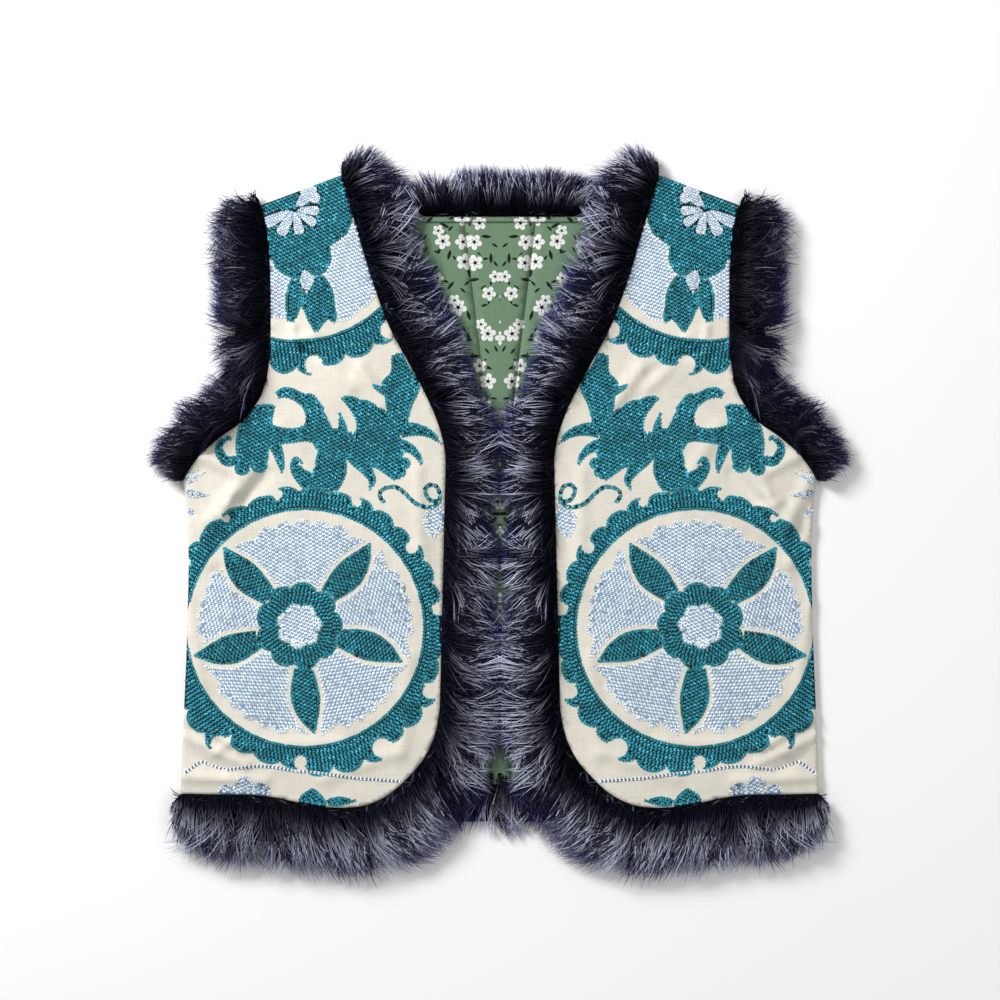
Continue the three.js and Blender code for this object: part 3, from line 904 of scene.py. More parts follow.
def line_places(points, pitch, tone, swing, size, lean):
    """Places of single chain stitches along an open line, light and dark in turn."""
    line = smooth_line(points, 12 * len(points))
    run = np.concatenate([[0], np.cumsum(np.hypot(*np.diff(line, axis=0).T))])
    stops = np.arange(pitch / 2, run[-1], pitch)
    place = np.stack([np.interp(stops, run, line[:, i]) for i in (0, 1)], 1)
    ahead = np.stack([np.interp(stops + 0.5, run, line[:, i]) for i in (0, 1)], 1)
    heading = np.arctan2(*(ahead - place).T[::-1])
    tones = tone + swing * (-1.0) ** np.arange(len(place))
    return np.column_stack([place, heading, tones, np.full((len(place), 2), (size, lean))])


STRAND_HIGH = 0.8
STRAND_WIDE = {"teal": 0.6, "pale": 0.66}
STRAND_LONG, STRAND_APART, STRAND_SUNK = 1.12, 0.235, 0.12
# Tones of the strands: those below ROPE_DARK are the dark stitches of a rope, with a small
# scatter and a floor of their own. A tone under TONE_DARK is drawn in the darkest shade.
ROPE_DARK, ROPE_SCATTER, ROPE_FLOOR = -0.5, 0.02, -1.44
TONE_SCATTER, TONE_FLOOR, TONE_DARK = 0.19, -0.44, -0.45
SHADE_DARKEST, SHADE_LOW, SHADE_HIGH = 0.03, 0.11, 0.94


def strand_shape():
    """Points and faces of one strand of a chain stitch: a grain a unit long, wide and high."""
    shape = bmesh.new()
    bmesh.ops.create_cone(shape, cap_ends=True, segments=6, radius1=0.5, radius2=0, depth=1)
    bmesh.ops.translate(shape, verts=shape.verts, vec=(0, 0, 0.5))
    bmesh.ops.remove_doubles(shape, verts=shape.verts, dist=1e-4)
    return as_arrays(shape)


def stitch_arrays(places, level, rng, pitch, row, wide):
    """Points, faces and UV of chain stitches, two strands to a stitch."""
    count = len(places)
    strand, strand_faces = strand_shape()
    parts, tones = [], []
    rope = places[:, 3] < ROPE_DARK
    scatter = np.where(rope, ROPE_SCATTER, TONE_SCATTER)
    lowest = np.maximum(places[:, 3], np.where(rope, ROPE_FLOOR, TONE_FLOOR))
    sway = rng.normal(0, 0.09, count)
    for hand in (1, -1):
        lean = places[:, 2] + sway + hand * np.radians(places[:, 5] + rng.normal(0, 4, count))
        square = places[:, 2] + math.pi / 2
        size = places[:, 4] * rng.uniform(0.9, 1.12, count)
        local = strand[None] * np.array([STRAND_LONG * pitch, wide * row, STRAND_HIGH])
        local = local * size[:, None, None]
        x = local[..., 0] * np.cos(lean)[:, None] - local[..., 1] * np.sin(lean)[:, None]
        y = local[..., 0] * np.sin(lean)[:, None] + local[..., 1] * np.cos(lean)[:, None]
        shift = hand * STRAND_APART * row * places[:, 4]
        x += (places[:, 0] + shift * np.cos(square))[:, None]
        y += (places[:, 1] + shift * np.sin(square))[:, None]
        flat = np.stack([x.ravel(), y.ravel()], 1)
        z = level(flat) - STRAND_SUNK + local[..., 2].ravel()
        parts.append(np.column_stack([flat, z]).reshape(count, -1, 3))
        tones.append(lowest + scatter * rng.normal(0, 1, count).clip(-1.6, 2))
    points = np.concatenate(parts).reshape(-1, 3)
    tone = np.concatenate(tones)
    shade = np.clip(0.5 + tone, SHADE_LOW, SHADE_HIGH)
    tone = np.where(tone < TONE_DARK, SHADE_DARKEST, shade)
    u = tone[:, None] + 0.03 * (strand[:, 0] + 0.5) + 0.012 * strand[:, 1]
    # V is the height up a strand, a little more towards the sides of its foot; the thread material turns it
    # into painted shade at the foot and a lit crown.
    foot = strand[:, 2] < 0.5
    v = np.tile(0.03 + 0.94 * strand[:, 2] + 0.05 * np.abs(strand[:, 0]) * foot, 2 * count)
    faces = repeated(strand_faces, len(strand), 2 * count)
    return points, faces, np.stack([u.ravel(), v], 1)


def as_arrays(shape):
    """The points and triangles of a bmesh, which is then freed."""
    bmesh.ops.recalc_face_normals(shape, faces=shape.faces[:])
    bmesh.ops.triangulate(shape, faces=shape.faces[:])
    shape.verts.index_update()
    points = np.array([tuple(vert.co) for vert in shape.verts])
    faces = np.array([[vert.index for vert in face.verts] for face in shape.faces])
    shape.free()
    return points, faces


def repeated(faces, size, count):
    """The faces of a shape with that many points, for count copies in a row."""
    return (faces[None] + size * np.arange(count)[:, None, None]).reshape(-1, 3)


# ---- Cloth -------------------------------------------------------------------------------

FRONT_EDGES = ("side", "armhole", "shoulder", "front", "hem")


LOWEST_TOP = 4.7  # of a front, clear of the lining below it


class FrontSurface:
    """The top of the left front, with its creases, shared by the cloth and the stitches."""

    def __init__(self):
        self.levels = Levels("front_left")
        self.ring = outline(FRONT_EDGES, 2.6)
        self.seams = [draw_edge(name, 6) for name in ("side", "shoulder")]

    def at(self, points):
        level = self.levels.at(points)
        for start, end, wide, high in CREASES:
            away = distance_to_open(points, np.array([start, end], float))
            level = level + high * np.exp(-((away / wide) ** 2))
        level += 0.3 * self.puckers(points)
        edge = np.minimum(*[distance_to_open(points, line) for line in self.seams])
        level = level - 0.7 * np.exp(-((edge / 1.6) ** 2))
        return np.maximum(level, LOWEST_TOP + 0.12 * (level - LOWEST_TOP))

    @staticmethod
    def puckers(points):
        return soft_noise(points, 9.0, 3.0) + 0.6 * soft_noise(points, 4.5, 7.0)


def cotton_material(settings, threads):
    """Cream cotton; well inside the embroidery the ground is painted in its thread's shade colour, as
    painted shade in the gaps between the stitches.
    """
    made, tree, shader = new_material("Cream cotton", 0.92, 0.2, 0.15)
    shade = add_weave(tree, shader, 1500, 0.8, 0.5, 0.0002)
    place = add_node(tree, "TexCoord").outputs["Object"]
    cloud = add_node(tree, "TexNoise", {"Vector": place, "Scale": 26.0, "Detail": 4.0}).outputs[0]
    woven = add_math(tree, "MULTIPLY", shade, 0.55)
    clouded = add_math(tree, "MULTIPLY", cloud, 0.45)
    tone = add_math(tree, "ADD", woven, clouded)
    cream = add_ramp(
        tree,
        tone,
        (
            (0.30, rgb(settings.cotton, 0.84)),
            (0.52, rgb(settings.cotton)),
            (0.75, rgb(settings.cotton, 1.12)),
        ),
    )
    colour = cream
    # Painted shade: well inside a patch the cotton turns to its thread's shade colour, so the gaps between
    # the stitches read dark.
    for label, dark in (("teal_depth", rgb(threads.teal_shade)), ("pale_depth", rgb(threads.pale_shade, 1.25))):
        depth = add_node(tree, "Attribute", attribute_name=label).outputs["Fac"]
        colour = add_mix(tree, add_math(tree, "MULTIPLY_ADD", depth, 3.0, -1.5, clamp=True), colour, dark)
    tree.links.new(colour, shader.inputs["Base Color"])
    return made


def plain_cotton_material(settings):
    """The same cotton without embroidery, for the back."""
    made, tree, shader = new_material("Plain cotton", 0.92, 0.2, 0.15)
    shade = add_weave(tree, shader, 1500, 0.8, 0.5, 0.0002)
    cream = add_ramp(tree, shade, ((0.3, rgb(settings.cotton, 0.82)), (0.7, rgb(settings.cotton, 1.08))))
    tree.links.new(cream, shader.inputs["Base Color"])
    return made


# Leaves of the print: their offset, how close they stand, half length and half width in metres.
PRINT_LEAVES = (
    ((0.031, 0.017, 0.0), 1.1, 0.0046, 0.0015),
    ((0.007, 0.043, 0.0), 1.45, 0.0032, 0.0011),
)


def print_material(settings):
    """Green cotton printed with small blossoms and dark leaves."""
    made, tree, shader = new_material("Blossom print", 0.9, 0.2, 0.1)
    shade = add_weave(tree, shader, 2200, 0.5, 0.35, 0.00015)
    spot = add_node(tree, "SeparateXYZ", {0: add_node(tree, "TexCoord").outputs["Object"]})
    folded = {0: add_math(tree, "ABSOLUTE", spot.outputs[0]), 1: spot.outputs[1], 2: spot.outputs[2]}
    place = add_node(tree, "CombineXYZ", folded).outputs[0]
    green = add_ramp(tree, shade, ((0.3, rgb(settings.green, 0.88)), (0.7, rgb(settings.green, 1.1))))
    spacing = 1 / settings.repeat

    def spots(offset, scale, randomness):
        """Distance to the nearest spot, its turned direction and its random colour."""
        moved = add_node(tree, "VectorMath", {0: place, 1: offset}, operation="ADD").outputs[0]
        cells = add_node(
            tree, "TexVoronoi", {"Vector": moved, "Scale": scale, "Randomness": randomness},
            voronoi_dimensions="2D",
        )
        away = add_node(
            tree, "VectorMath", {0: moved, 1: cells.outputs["Position"]}, operation="SUBTRACT"
        ).outputs[0]
        flat = add_node(tree, "SeparateXYZ", {0: away})
        x, y = flat.outputs[0], flat.outputs[1]
        own = add_node(tree, "SeparateColor", {0: cells.outputs["Color"]})
        squares = [add_math(tree, "MULTIPLY", side, side) for side in (x, y)]
        reach = add_math(tree, "SQRT", add_math(tree, "ADD", *squares))
        bearing = add_math(tree, "ARCTAN2", y, x)
        turn = add_math(tree, "ADD", bearing, add_math(tree, "MULTIPLY", own.outputs[0], 6.28))
        return reach, turn, own

    reach, turn, own = spots((0.011, 0.004, 0.0), spacing, 0.8)
    size = add_math(tree, "ADD", add_math(tree, "MULTIPLY", own.outputs[1], 0.0024), 0.0048)
    lobe = add_math(tree, "ABSOLUTE", add_math(tree, "COSINE", add_math(tree, "MULTIPLY", turn, 2.5)))
    swell = add_math(tree, "MULTIPLY", add_math(tree, "POWER", lobe, 0.55), 0.58)
    petal = add_math(tree, "MULTIPLY", size, add_math(tree, "ADD", 0.42, swell))
    edge = 0.0003
    inside = add_math(tree, "DIVIDE", add_math(tree, "SUBTRACT", petal, reach), edge, clamp=True)
    heart_size = add_math(tree, "MULTIPLY", size, 0.24)
    heart = add_math(tree, "DIVIDE", add_math(tree, "SUBTRACT", heart_size, reach), edge, clamp=True)
    fifths = add_math(tree, "COSINE", add_math(tree, "MULTIPLY", turn, 5.0))
    rays = add_math(tree, "GREATER_THAN", fifths, 0.88)
    ray_end = add_math(tree, "LESS_THAN", reach, add_math(tree, "MULTIPLY", size, 0.46))
    heart = add_math(tree, "MAXIMUM", heart, add_math(tree, "MULTIPLY", rays, ray_end))
    clear = add_math(tree, "GREATER_THAN", reach, add_math(tree, "MULTIPLY", size, 1.06))

    leaf = None
    for offset, scale, long, wide in PRINT_LEAVES:
        away, way, _ = spots(offset, spacing * scale, 0.95)
        along = add_math(tree, "MULTIPLY", away, add_math(tree, "COSINE", way))
        across = add_math(tree, "ABSOLUTE", add_math(tree, "MULTIPLY", away, add_math(tree, "SINE", way)))
        share = add_math(tree, "DIVIDE", along, long)
        bow = add_math(tree, "SUBTRACT", 1.0, add_math(tree, "MULTIPLY", share, share))
        inner = add_math(tree, "SUBTRACT", add_math(tree, "MULTIPLY", bow, wide), across)
        mask = add_math(tree, "DIVIDE", inner, 0.00022, clamp=True)
        leaf = mask if leaf is None else add_math(tree, "MAXIMUM", leaf, mask)
    leaf = add_math(tree, "MULTIPLY", leaf, clear)
    colour = add_mix(tree, leaf, green, (0.006, 0.010, 0.008, 1))
    colour = add_mix(tree, inside, colour, rgb(settings.blossom))
    colour = add_mix(tree, heart, colour, (0.008, 0.008, 0.012, 1))
    tree.links.new(colour, shader.inputs["Base Color"])
    return made


def thread_material(name, crown, sunk, green_cast):
    """Embroidery thread: along U each strand has its own tone, the brightest with a painted glint; along V,
    its height, each strand runs from painted shade at its foot to its lit crown.
    """
    made, tree, shader = new_material(name, 0.6, 0.35, 0.1)
    place = add_node(tree, "SeparateXYZ", {0: add_node(tree, "TexCoord").outputs["UV"]})
    tone, rise = place.outputs[0], place.outputs[1]
    # The brightest stop, lifted towards white, is a painted glint on the brightest strands.
    lit = add_ramp(
        tree,
        tone,
        (
            (0.045, rgb(sunk, 0.6)),
            (0.1, rgb(crown, 0.42)),
            (0.35, tuple(a * b for a, b in zip(rgb(crown, 0.78), green_cast))),
            (0.62, rgb(crown)),
            (0.92, rgb([min(1.0, 0.09 + 1.85 * part) for part in crown])),
        ),
    )
    # Painted shade: the foot of each strand is darkened towards the sunk colour, and the crown is lit.
    share = add_ramp(tree, rise, ((0.0, (0.04,) * 3), (0.16, (0.5,) * 3), (0.42, (1, 1, 1))))
    colour = add_mix(tree, share, rgb(sunk), lit)
    tree.links.new(colour, shader.inputs["Base Color"])
    return made


def hair_material(settings):
    """Fur: along U each lock has its own tone, along V it runs from root to tip. The roots are near black,
    dark roots with painted shade far down in the fur; pale locks brighten to their tips, pale tips with
    painted highlight of glossy locks.
    """
    made, tree, shader = new_material("Dyed fur", 0.5, 0.14)
    place = add_node(tree, "SeparateXYZ", {0: add_node(tree, "TexCoord").outputs["UV"]})
    tone, along = place.outputs[0], place.outputs[1]
    # Near black at the root: dark roots, with painted shade far down in the fur.
    dark = add_ramp(
        tree,
        along,
        (
            (0.0, rgb(settings.root)),
            (0.4, rgb(settings.shaft, 0.35)),
            (0.7, rgb(settings.shaft)),
            (1.0, rgb(settings.fringe)),
        ),
    )
    # Pale locks: pale tips, which also stand in for the highlights of glossy locks as painted highlight.
    pale = add_ramp(
        tree,
        along,
        (
            (0.0, rgb(settings.root)),
            (0.22, rgb(settings.shaft, 0.6)),
            (0.4, rgb(settings.tip, 0.2)),
            (0.64, rgb(settings.tip, 0.85)),
            (1.0, rgb(settings.tip, 1.2)),
        ),
    )
    share = add_ramp(tree, tone, ((0.4, (0, 0, 0)), (0.62, (0.28,) * 3), (0.84, (1, 1, 1))))
    colour = add_mix(tree, share, dark, pale)
    tree.links.new(colour, shader.inputs["Base Color"])
    return made


def skin_material(settings):
    """The dense underfur below the locks, near black: its own dark colour with painted shade between the
    locks.
    """
    made, tree, shader = new_material("Underfur", 0.9, 0.05)
    place = add_node(tree, "TexCoord").outputs["Object"]
    grain = add_node(tree, "TexNoise", {"Vector": place, "Scale": 700.0, "Detail": 2.0}).outputs[0]
    colour = add_ramp(tree, grain, ((0.35, rgb(settings.root)), (0.75, rgb(settings.shaft, 0.2))))
    bump = add_node(tree, "Bump", {"Height": grain, "Strength": 0.8, "Distance": 0.0008})
    tree.links.new(bump.outputs[0], shader.inputs["Normal"])
    tree.links.new(colour, shader.inputs["Base Color"])
    return made


def store_depths(made, patches):
    """Stores how far each point of a front lies inside the patches of each thread, in mm."""
    places = np.zeros(3 * len(made.data.vertices), np.float32)
    made.data.vertices.foreach_get("co", places)
    spots = places.reshape(-1, 3)[:, :2].astype(float) / MM
    spots[:, 0] = np.abs(spots[:, 0])
    depths = {name: np.full(len(spots), -9.0) for name in ("teal", "pale")}
    clear = np.full(len(spots), 9.0)
    for drawn in patches:
        away = patch_distance(spots, drawn)
        depth = depths[drawn["thread"]]
        np.maximum(depth, np.minimum(-away, clear), out=depth)
        if drawn["bare"]:
            clear = np.minimum(clear, away - drawn["gap"])
    for name, depth in depths.items():
        layer = made.data.attributes.new(f"{name}_depth", "FLOAT", "POINT")
        layer.data.foreach_set("value", depth.astype(np.float32))


class WAISTCOAT_OT_fronts(bpy.types.Operator):
    """Makes the two cotton fronts and their chain-stitch embroidery"""

    bl_idname = "waistcoat.fronts"
    bl_label = "Fronts and embroidery"

    def execute(self, context):
        scene = context.scene
        cloth, thread = scene.waistcoat_cloth, scene.waistcoat_thread
        pitch, row = thread.pitch / MM, thread.row / MM
        surface = FrontSurface()
        patches = all_patches()
        planned = plan_stitches(patches, surface.ring, pitch, row)
        tendril = line_places(TENDRIL, 0.85 * pitch, -0.15, 0.28, 1.3, 17)
        hem_line = line_places(HEM_LINE, 0.5 * pitch, -0.12, 0.5, 0.95, 32)
        planned["teal"] = np.vstack([planned["teal"], tendril])
        planned["pale"] = np.vstack([planned["pale"], hem_line])
        materials = {
            "teal": thread_material("Teal thread", thread.teal, thread.teal_shade, (1.3, 1.0, 0.86, 1)),
            "pale": thread_material("Pale blue thread", thread.pale, thread.pale_shade, (1.0, 1.0, 1.0, 1)),
        }
        cotton = cotton_material(cloth, thread)
        rng = np.random.default_rng(11)
        arrays = {}
        for name, places in planned.items():
            places[:, 3] += 0.15 * soft_noise(places[:, :2], 22.0, 1.0)
            arrays[name] = stitch_arrays(places, surface.at, rng, pitch, row, STRAND_WIDE[name])
        for word, side in SIDES.items():
            made = cloth_piece(
                f"front_{word}_cloth", surface.ring, cloth.net / MM, surface.at, 1.6, side
            )
            store_depths(made, patches)
            finished(made, cotton, [f"front_{word}"])
            for name, (places, faces, uv) in arrays.items():
                sewn = mesh_object(f"front_{word}_{name}_stitches", places, faces, side, uv)
                finished(sewn, materials[name])
        return {"FINISHED"}


def back_ring(step):
    """Outline of the back: the left half, then its mirror image, then the hem."""
    half = np.vstack([outline(("side", "armhole", "shoulder"), step), draw_edge("back_neck_turn", step)])
    return np.vstack([half, mirrored(half[1:]), draw_edge("back_hem", step)[:-1]])


class WAISTCOAT_OT_back(bpy.types.Operator):
    """Makes the back that the waistcoat lies on"""

    bl_idname = "waistcoat.back"
    bl_label = "Back"

    def execute(self, context):
        material = plain_cotton_material(context.scene.waistcoat_cloth)

        def level(points):
            return 1.5 + 0.12 * soft_noise(points, 14.0, 2.0)

        made = cloth_piece("back_cloth", back_ring(5), 8.0, level, 1.3)
        finished(made, material, ["back"])
        return {"FINISHED"}


LINING_SEAM = ((29, 233.5), (9, 70), (9, -219.8))
LINING_OUTER = (
    (230, -216), (228, -140), (225, -60), (223.5, -20), (226, 14), (215, 34), (197, 48),
    (176, 76), (169, 110), (168, 150), (168, 190), (172, 226), (130, 242), (110, 235.5),
    (84, 233.5),
)
FACING = ((-61, 229.6), (61, 229.6), (61, 233.6), (-61, 233.6))


def dense(points, step):
    """A closed line through a few corners, with points about a step apart."""
    loop = np.vstack([points, points[:1]]).astype(float)
    parts = []
    for a, b in zip(loop[:-1], loop[1:]):
        count = max(1, round(np.hypot(*(b - a)) / step))
        parts.append(a + (b - a) * np.linspace(0, 1, count, endpoint=False)[:, None])
    return np.vstack(parts)


class WAISTCOAT_OT_lining(bpy.types.Operator):
    """Makes the three panels of the printed lining and the facing at the neck"""

    bl_idname = "waistcoat.lining"
    bl_label = "Lining and neck facing"

    def execute(self, context):
        material = print_material(context.scene.waistcoat_cloth)
        seam = np.array(LINING_SEAM, float)
        centre = dense(np.vstack([seam, mirrored(seam)]), 3)
        side_panel = dense(np.vstack([np.array(LINING_OUTER, float), seam + [0.3, 0]]), 4)

        def level(points):
            spots = np.abs(points[:, :1])
            from_seam = distance_to_open(np.column_stack([spots, points[:, 1]]), seam)
            sunk = 0.55 * np.exp(-((from_seam / 1.1) ** 2))
            return 2.75 - sunk + 0.22 * soft_noise(points, 16.0, 4.0)

        pieces = [("lining_centre", centre, LEFT)]
        pieces += [(f"lining_{word}", side_panel, side) for word, side in SIDES.items()]
        for name, ring, side in pieces:
            made = cloth_piece(f"{name}_cloth", ring, 6.0, level, 0.7, side)
            finished(made, material, [name])

        def facing_level(points):
            middle = (FACING[0][1] + FACING[2][1]) / 2
            roll = 0.45 * (1 - ((points[:, 1] - middle) / 2.0) ** 2)
            return 3.65 + roll + 0.16 * soft_noise(points, 3.0, 6.0)

        made = cloth_piece("neck_facing_cloth", dense(np.array(FACING, float), 1.0), 1.0, facing_level, 0.6)
        finished(made, material, ["neck_facing"])
        return {"FINISHED"}


# ---- Fur ---------------------------------------------------------------------------------


class Trim:
    """A fur trim along a seam: where it starts, how it flows, reaches and rises."""

    def __init__(self, name, edge):
        self.line = draw_edge(edge, 1.0)
        self.run = np.concatenate([[0], np.cumsum(np.hypot(*np.diff(self.line, axis=0).T))])
        self.rows = np.array(TRIM_ROWS[name], float)
        heading = np.gradient(self.line, axis=0)
        self.heading = heading / np.hypot(*heading.T)[:, None]

    def span(self):
        return self.rows[0, 0], self.rows[-1, 0]

    def at(self, along):
        """Start, flow, reach, height, underside and comb at distances along the seam."""
        place = np.stack([np.interp(along, self.run, self.line[:, i]) for i in (0, 1)], 1)
        ahead = np.stack([np.interp(along, self.run, self.heading[:, i]) for i in (0, 1)], 1)
        square = np.stack([ahead[:, 1], -ahead[:, 0]], 1)
        square /= np.hypot(*square.T)[:, None]
        row = [np.interp(along, self.rows[:, 0], self.rows[:, i]) for i in range(1, 6)]
        reach, turn, high, under, comb = row
        flow = turned(square, np.radians(turn))
        return place + 0.45 * square, flow, reach, high, under, comb


def turned(ways, angle):
    """Directions turned anticlockwise."""
    c, s = np.cos(angle), np.sin(angle)
    return np.stack([ways[:, 0] * c - ways[:, 1] * s, ways[:, 0] * s + ways[:, 1] * c], 1)


def rise_over(across):
    """Height of the fur across a strip, as a share of its full height."""
    return np.interp(across, [0, 0.14, 0.38, 0.68, 0.88, 1.1], [0.4, 0.78, 1, 0.8, 0.45, 0.12])


STOPS = np.array([0.0, 0.27, 0.53, 0.78, 1.0])  # places of a lock's sections and its tip
TAPER = np.array([1.0, 1.0, 0.88, 0.6, 0.0])


def hair_shape():
    """Points and faces of a straight hair, a unit long: a stem extruded stop by stop to its point."""
    shape = bmesh.new()
    bmesh.ops.create_circle(shape, cap_ends=True, segments=3, radius=1)
    edges = shape.edges[:]
    for k, stop in enumerate(STOPS[1:]):
        grown = bmesh.ops.extrude_edge_only(shape, edges=edges)["geom"]
        edges = [part for part in grown if isinstance(part, bmesh.types.BMEdge)]
        rim = [part for part in grown if isinstance(part, bmesh.types.BMVert)]
        bmesh.ops.translate(shape, verts=rim, vec=(0, 0, stop - STOPS[k]))
        narrow = TAPER[k + 1] / TAPER[k]
        bmesh.ops.scale(shape, vec=(narrow, narrow, 1), verts=rim)
    bmesh.ops.remove_doubles(shape, verts=rim, dist=1e-4)
    return as_arrays(shape)


# Wisps are short hairs over the seam: their share, how far on, lean, length, rise and arch.
WISP_SHARE, WISP_REACH = 0.05, 3.5
WISP_LEAN, WISP_LONG, WISP_RISE, WISP_ARCH = (35, 100), (7, 15), 1.5, 1.2
HAIRS_PER_TUFT = 14
WIDEST_LEAN = 42  # degrees away from the way the fur is combed
SHORTEST_HAIR, LONGEST_HAIR = 9, 1.1  # in millimetres, and as a share of the trim's reach
FARTHEST_ROOT = 0.72  # share of the reach
LOWEST_HAIR = 0.7


def drift(rng, along, step):
    """A random value that changes smoothly along the seam."""
    knots = np.arange(along.min() - step, along.max() + 2 * step, step)
    return np.interp(along, knots, rng.normal(0, 1, len(knots)))


def plan_tufts(trim, count, rng, spread, long, shade, inner):
    """What the hairs of each tuft share, by name: place, lean, bend, wave, length and tone."""
    first, last = trim.span()
    along = rng.uniform(first, last, count)
    across = inner + (0.6 - inner) * rng.beta(0.7, 1.5, count)
    from_end = np.minimum(along - first, last - along)
    free = spread * np.interp(from_end, [0, 25], [0.3, 1])
    lean = free * (12 * drift(rng, along, 16) + rng.normal(0, 9, count))
    bend = free * (0.38 * drift(rng, along, 11) + rng.normal(0, 0.17, count))
    wave = free * (5.5 * drift(rng, along, 20) + rng.normal(0, 2.5, count))
    phase = 2.4 * drift(rng, along, 13) + rng.normal(0, 0.5, count)
    long = long * rng.uniform(0.82, 1.12, count) * np.interp(from_end, [0, 22], [0.84, 1])
    tone = shade + np.where(rng.random(count) < 0.42, 0.3, -0.2) + rng.normal(0, 0.1, count)
    lift = rng.uniform(0.2, 1.0, count)
    return {
        "along": along, "across": across, "free": free, "lean": lean, "bend": bend,
        "wave": wave, "phase": phase, "long": long, "tone": tone, "lift": lift,
    }


def grow_hair(trim, count, thick, rng, over, lie, spread, long, shade, inner):
    """Points, faces and UV of a trim's locks of hair, which don't lie over the given outline."""
    first, last = trim.span()
    tufts = plan_tufts(trim, count // HAIRS_PER_TUFT, rng, spread, long, shade, inner)
    wisp = rng.random(count) < WISP_SHARE
    mine = rng.integers(0, count // HAIRS_PER_TUFT, count)
    tuft = {name: values[mine] for name, values in tufts.items()}
    offset = rng.normal(0, 3.8, count)
    along = np.clip(tuft["along"] + offset, first, last)
    across = np.clip(tuft["across"] + rng.normal(0, 0.05, count), inner, FARTHEST_ROOT)
    start, flow, reach, high, under, comb = trim.at(along)
    loose = tuft["free"] * (rng.random(count) < 0.05)
    lean = comb + tuft["lean"] + tuft["free"] * rng.normal(0, 5, count)
    lean = lean + loose * rng.normal(0, 26, count)
    lean = np.clip(lean, comb - WIDEST_LEAN, comb + WIDEST_LEAN)
    lean = np.where(wisp, rng.uniform(*WISP_LEAN, count) * rng.choice((-1, 1), count), lean)
    way = turned(flow, np.radians(lean))
    square = np.stack([-way[:, 1], way[:, 0]], 1)
    across = np.where(wisp, 0.12 * rng.random(count), across)
    root = start + flow * (across * reach)[:, None]
    facing = np.maximum(0.85, np.cos(np.radians(lean)))
    length = (1.03 - across) * reach * tuft["long"] * rng.uniform(0.78, 1.06, count) / facing
    length = np.clip(length, SHORTEST_HAIR, LONGEST_HAIR * reach)
    length = np.where(wisp, rng.uniform(*WISP_LONG, count), length)
    bend = tuft["bend"] + rng.normal(0, 0.07, count)
    wave = tuft["wave"] + rng.normal(0, 0.6, count)
    phase = tuft["phase"] + rng.normal(0, 0.3, count)
    heading = np.stack([-flow[:, 1], flow[:, 0]], 1)
    tone = np.clip(0.5 + tuft["tone"] + rng.normal(0, 0.09, count), 0.02, 0.96)
    tone = np.where(wisp, 0.6 * tone, tone)
    base = under + high * 0.3 * rise_over(across)
    tip_across = across + length / reach
    full = under + high * rise_over(tip_across)
    low = 1.2 + 0.25 * under
    end = low + (full - low) * tuft["lift"] * rng.uniform(0.6, 1, count) * lie
    crown = under + high * rise_over(across + 0.4 * length / reach)
    end = np.where(wisp, base + WISP_RISE, end)
    arch = np.maximum(0.5, (crown - (base + end) / 2) * rng.uniform(0.65, 1.05, count)) * lie
    arch = np.where(wisp, WISP_ARCH, arch)
    line = np.empty((count, len(STOPS), 3))
    for k, t in enumerate(STOPS):
        sideways = bend * length * t**2 + wave * np.sin(phase + 5.2 * t) * t
        gather = -0.9 * offset * t
        flat = root + way * (length * (t - 0.1 * t**2 * np.abs(bend) * 2))[:, None]
        flat = flat + square * sideways[:, None] + heading * gather[:, None]
        line[:, k, :2] = flat
        line[:, k, 2] = base + (end - base) * t + 4 * arch * t * (1 - t)
    line[..., 2] = np.maximum(line[..., 2], LOWEST_HAIR)
    if over is not None:
        inside = -signed_distance(line[..., :2].reshape(-1, 2), over).reshape(count, -1)
        stays = inside.max(1) < WISP_REACH
        line, across, tone = line[stays], across[stays], tone[stays]
    return sweep_hair(line, across, tone, thick, rng)


def sweep_hair(line, across, tone, thick, rng):
    """Points, faces and UV of hairs swept along their lines."""
    count = len(line)
    toward = np.gradient(line, axis=1)
    toward /= np.linalg.norm(toward, axis=2, keepdims=True)
    side = np.cross(toward, [0, 0, 1])
    side /= np.linalg.norm(side, axis=2, keepdims=True) + 1e-9
    upward = np.cross(side, toward)
    width = thick / 2 * rng.uniform(0.6, 1.25, count)
    hair, hair_faces = hair_shape()
    stop = np.abs(hair[:, 2:] - STOPS).argmin(1)
    across_hair = upward[:, stop] * hair[:, 0, None] + side[:, stop] * hair[:, 1, None]
    points = line[:, stop] + across_hair * width[:, None, None]
    u = tone[:, None] + 0.008 * (hair[:, 0] + 1)
    # V runs from root to tip; hairs rooted farther from the seam start further along it, so the near-black
    # root colour, partly painted shade far down in the fur, stays by the seam.
    run = across.clip(0)[:, None] * 0.45
    v = run + (0.985 - run) * STOPS[stop]
    faces = repeated(hair_faces, len(hair), count)
    return points.reshape(-1, 3), faces, np.stack([u.ravel(), v.ravel()], 1)


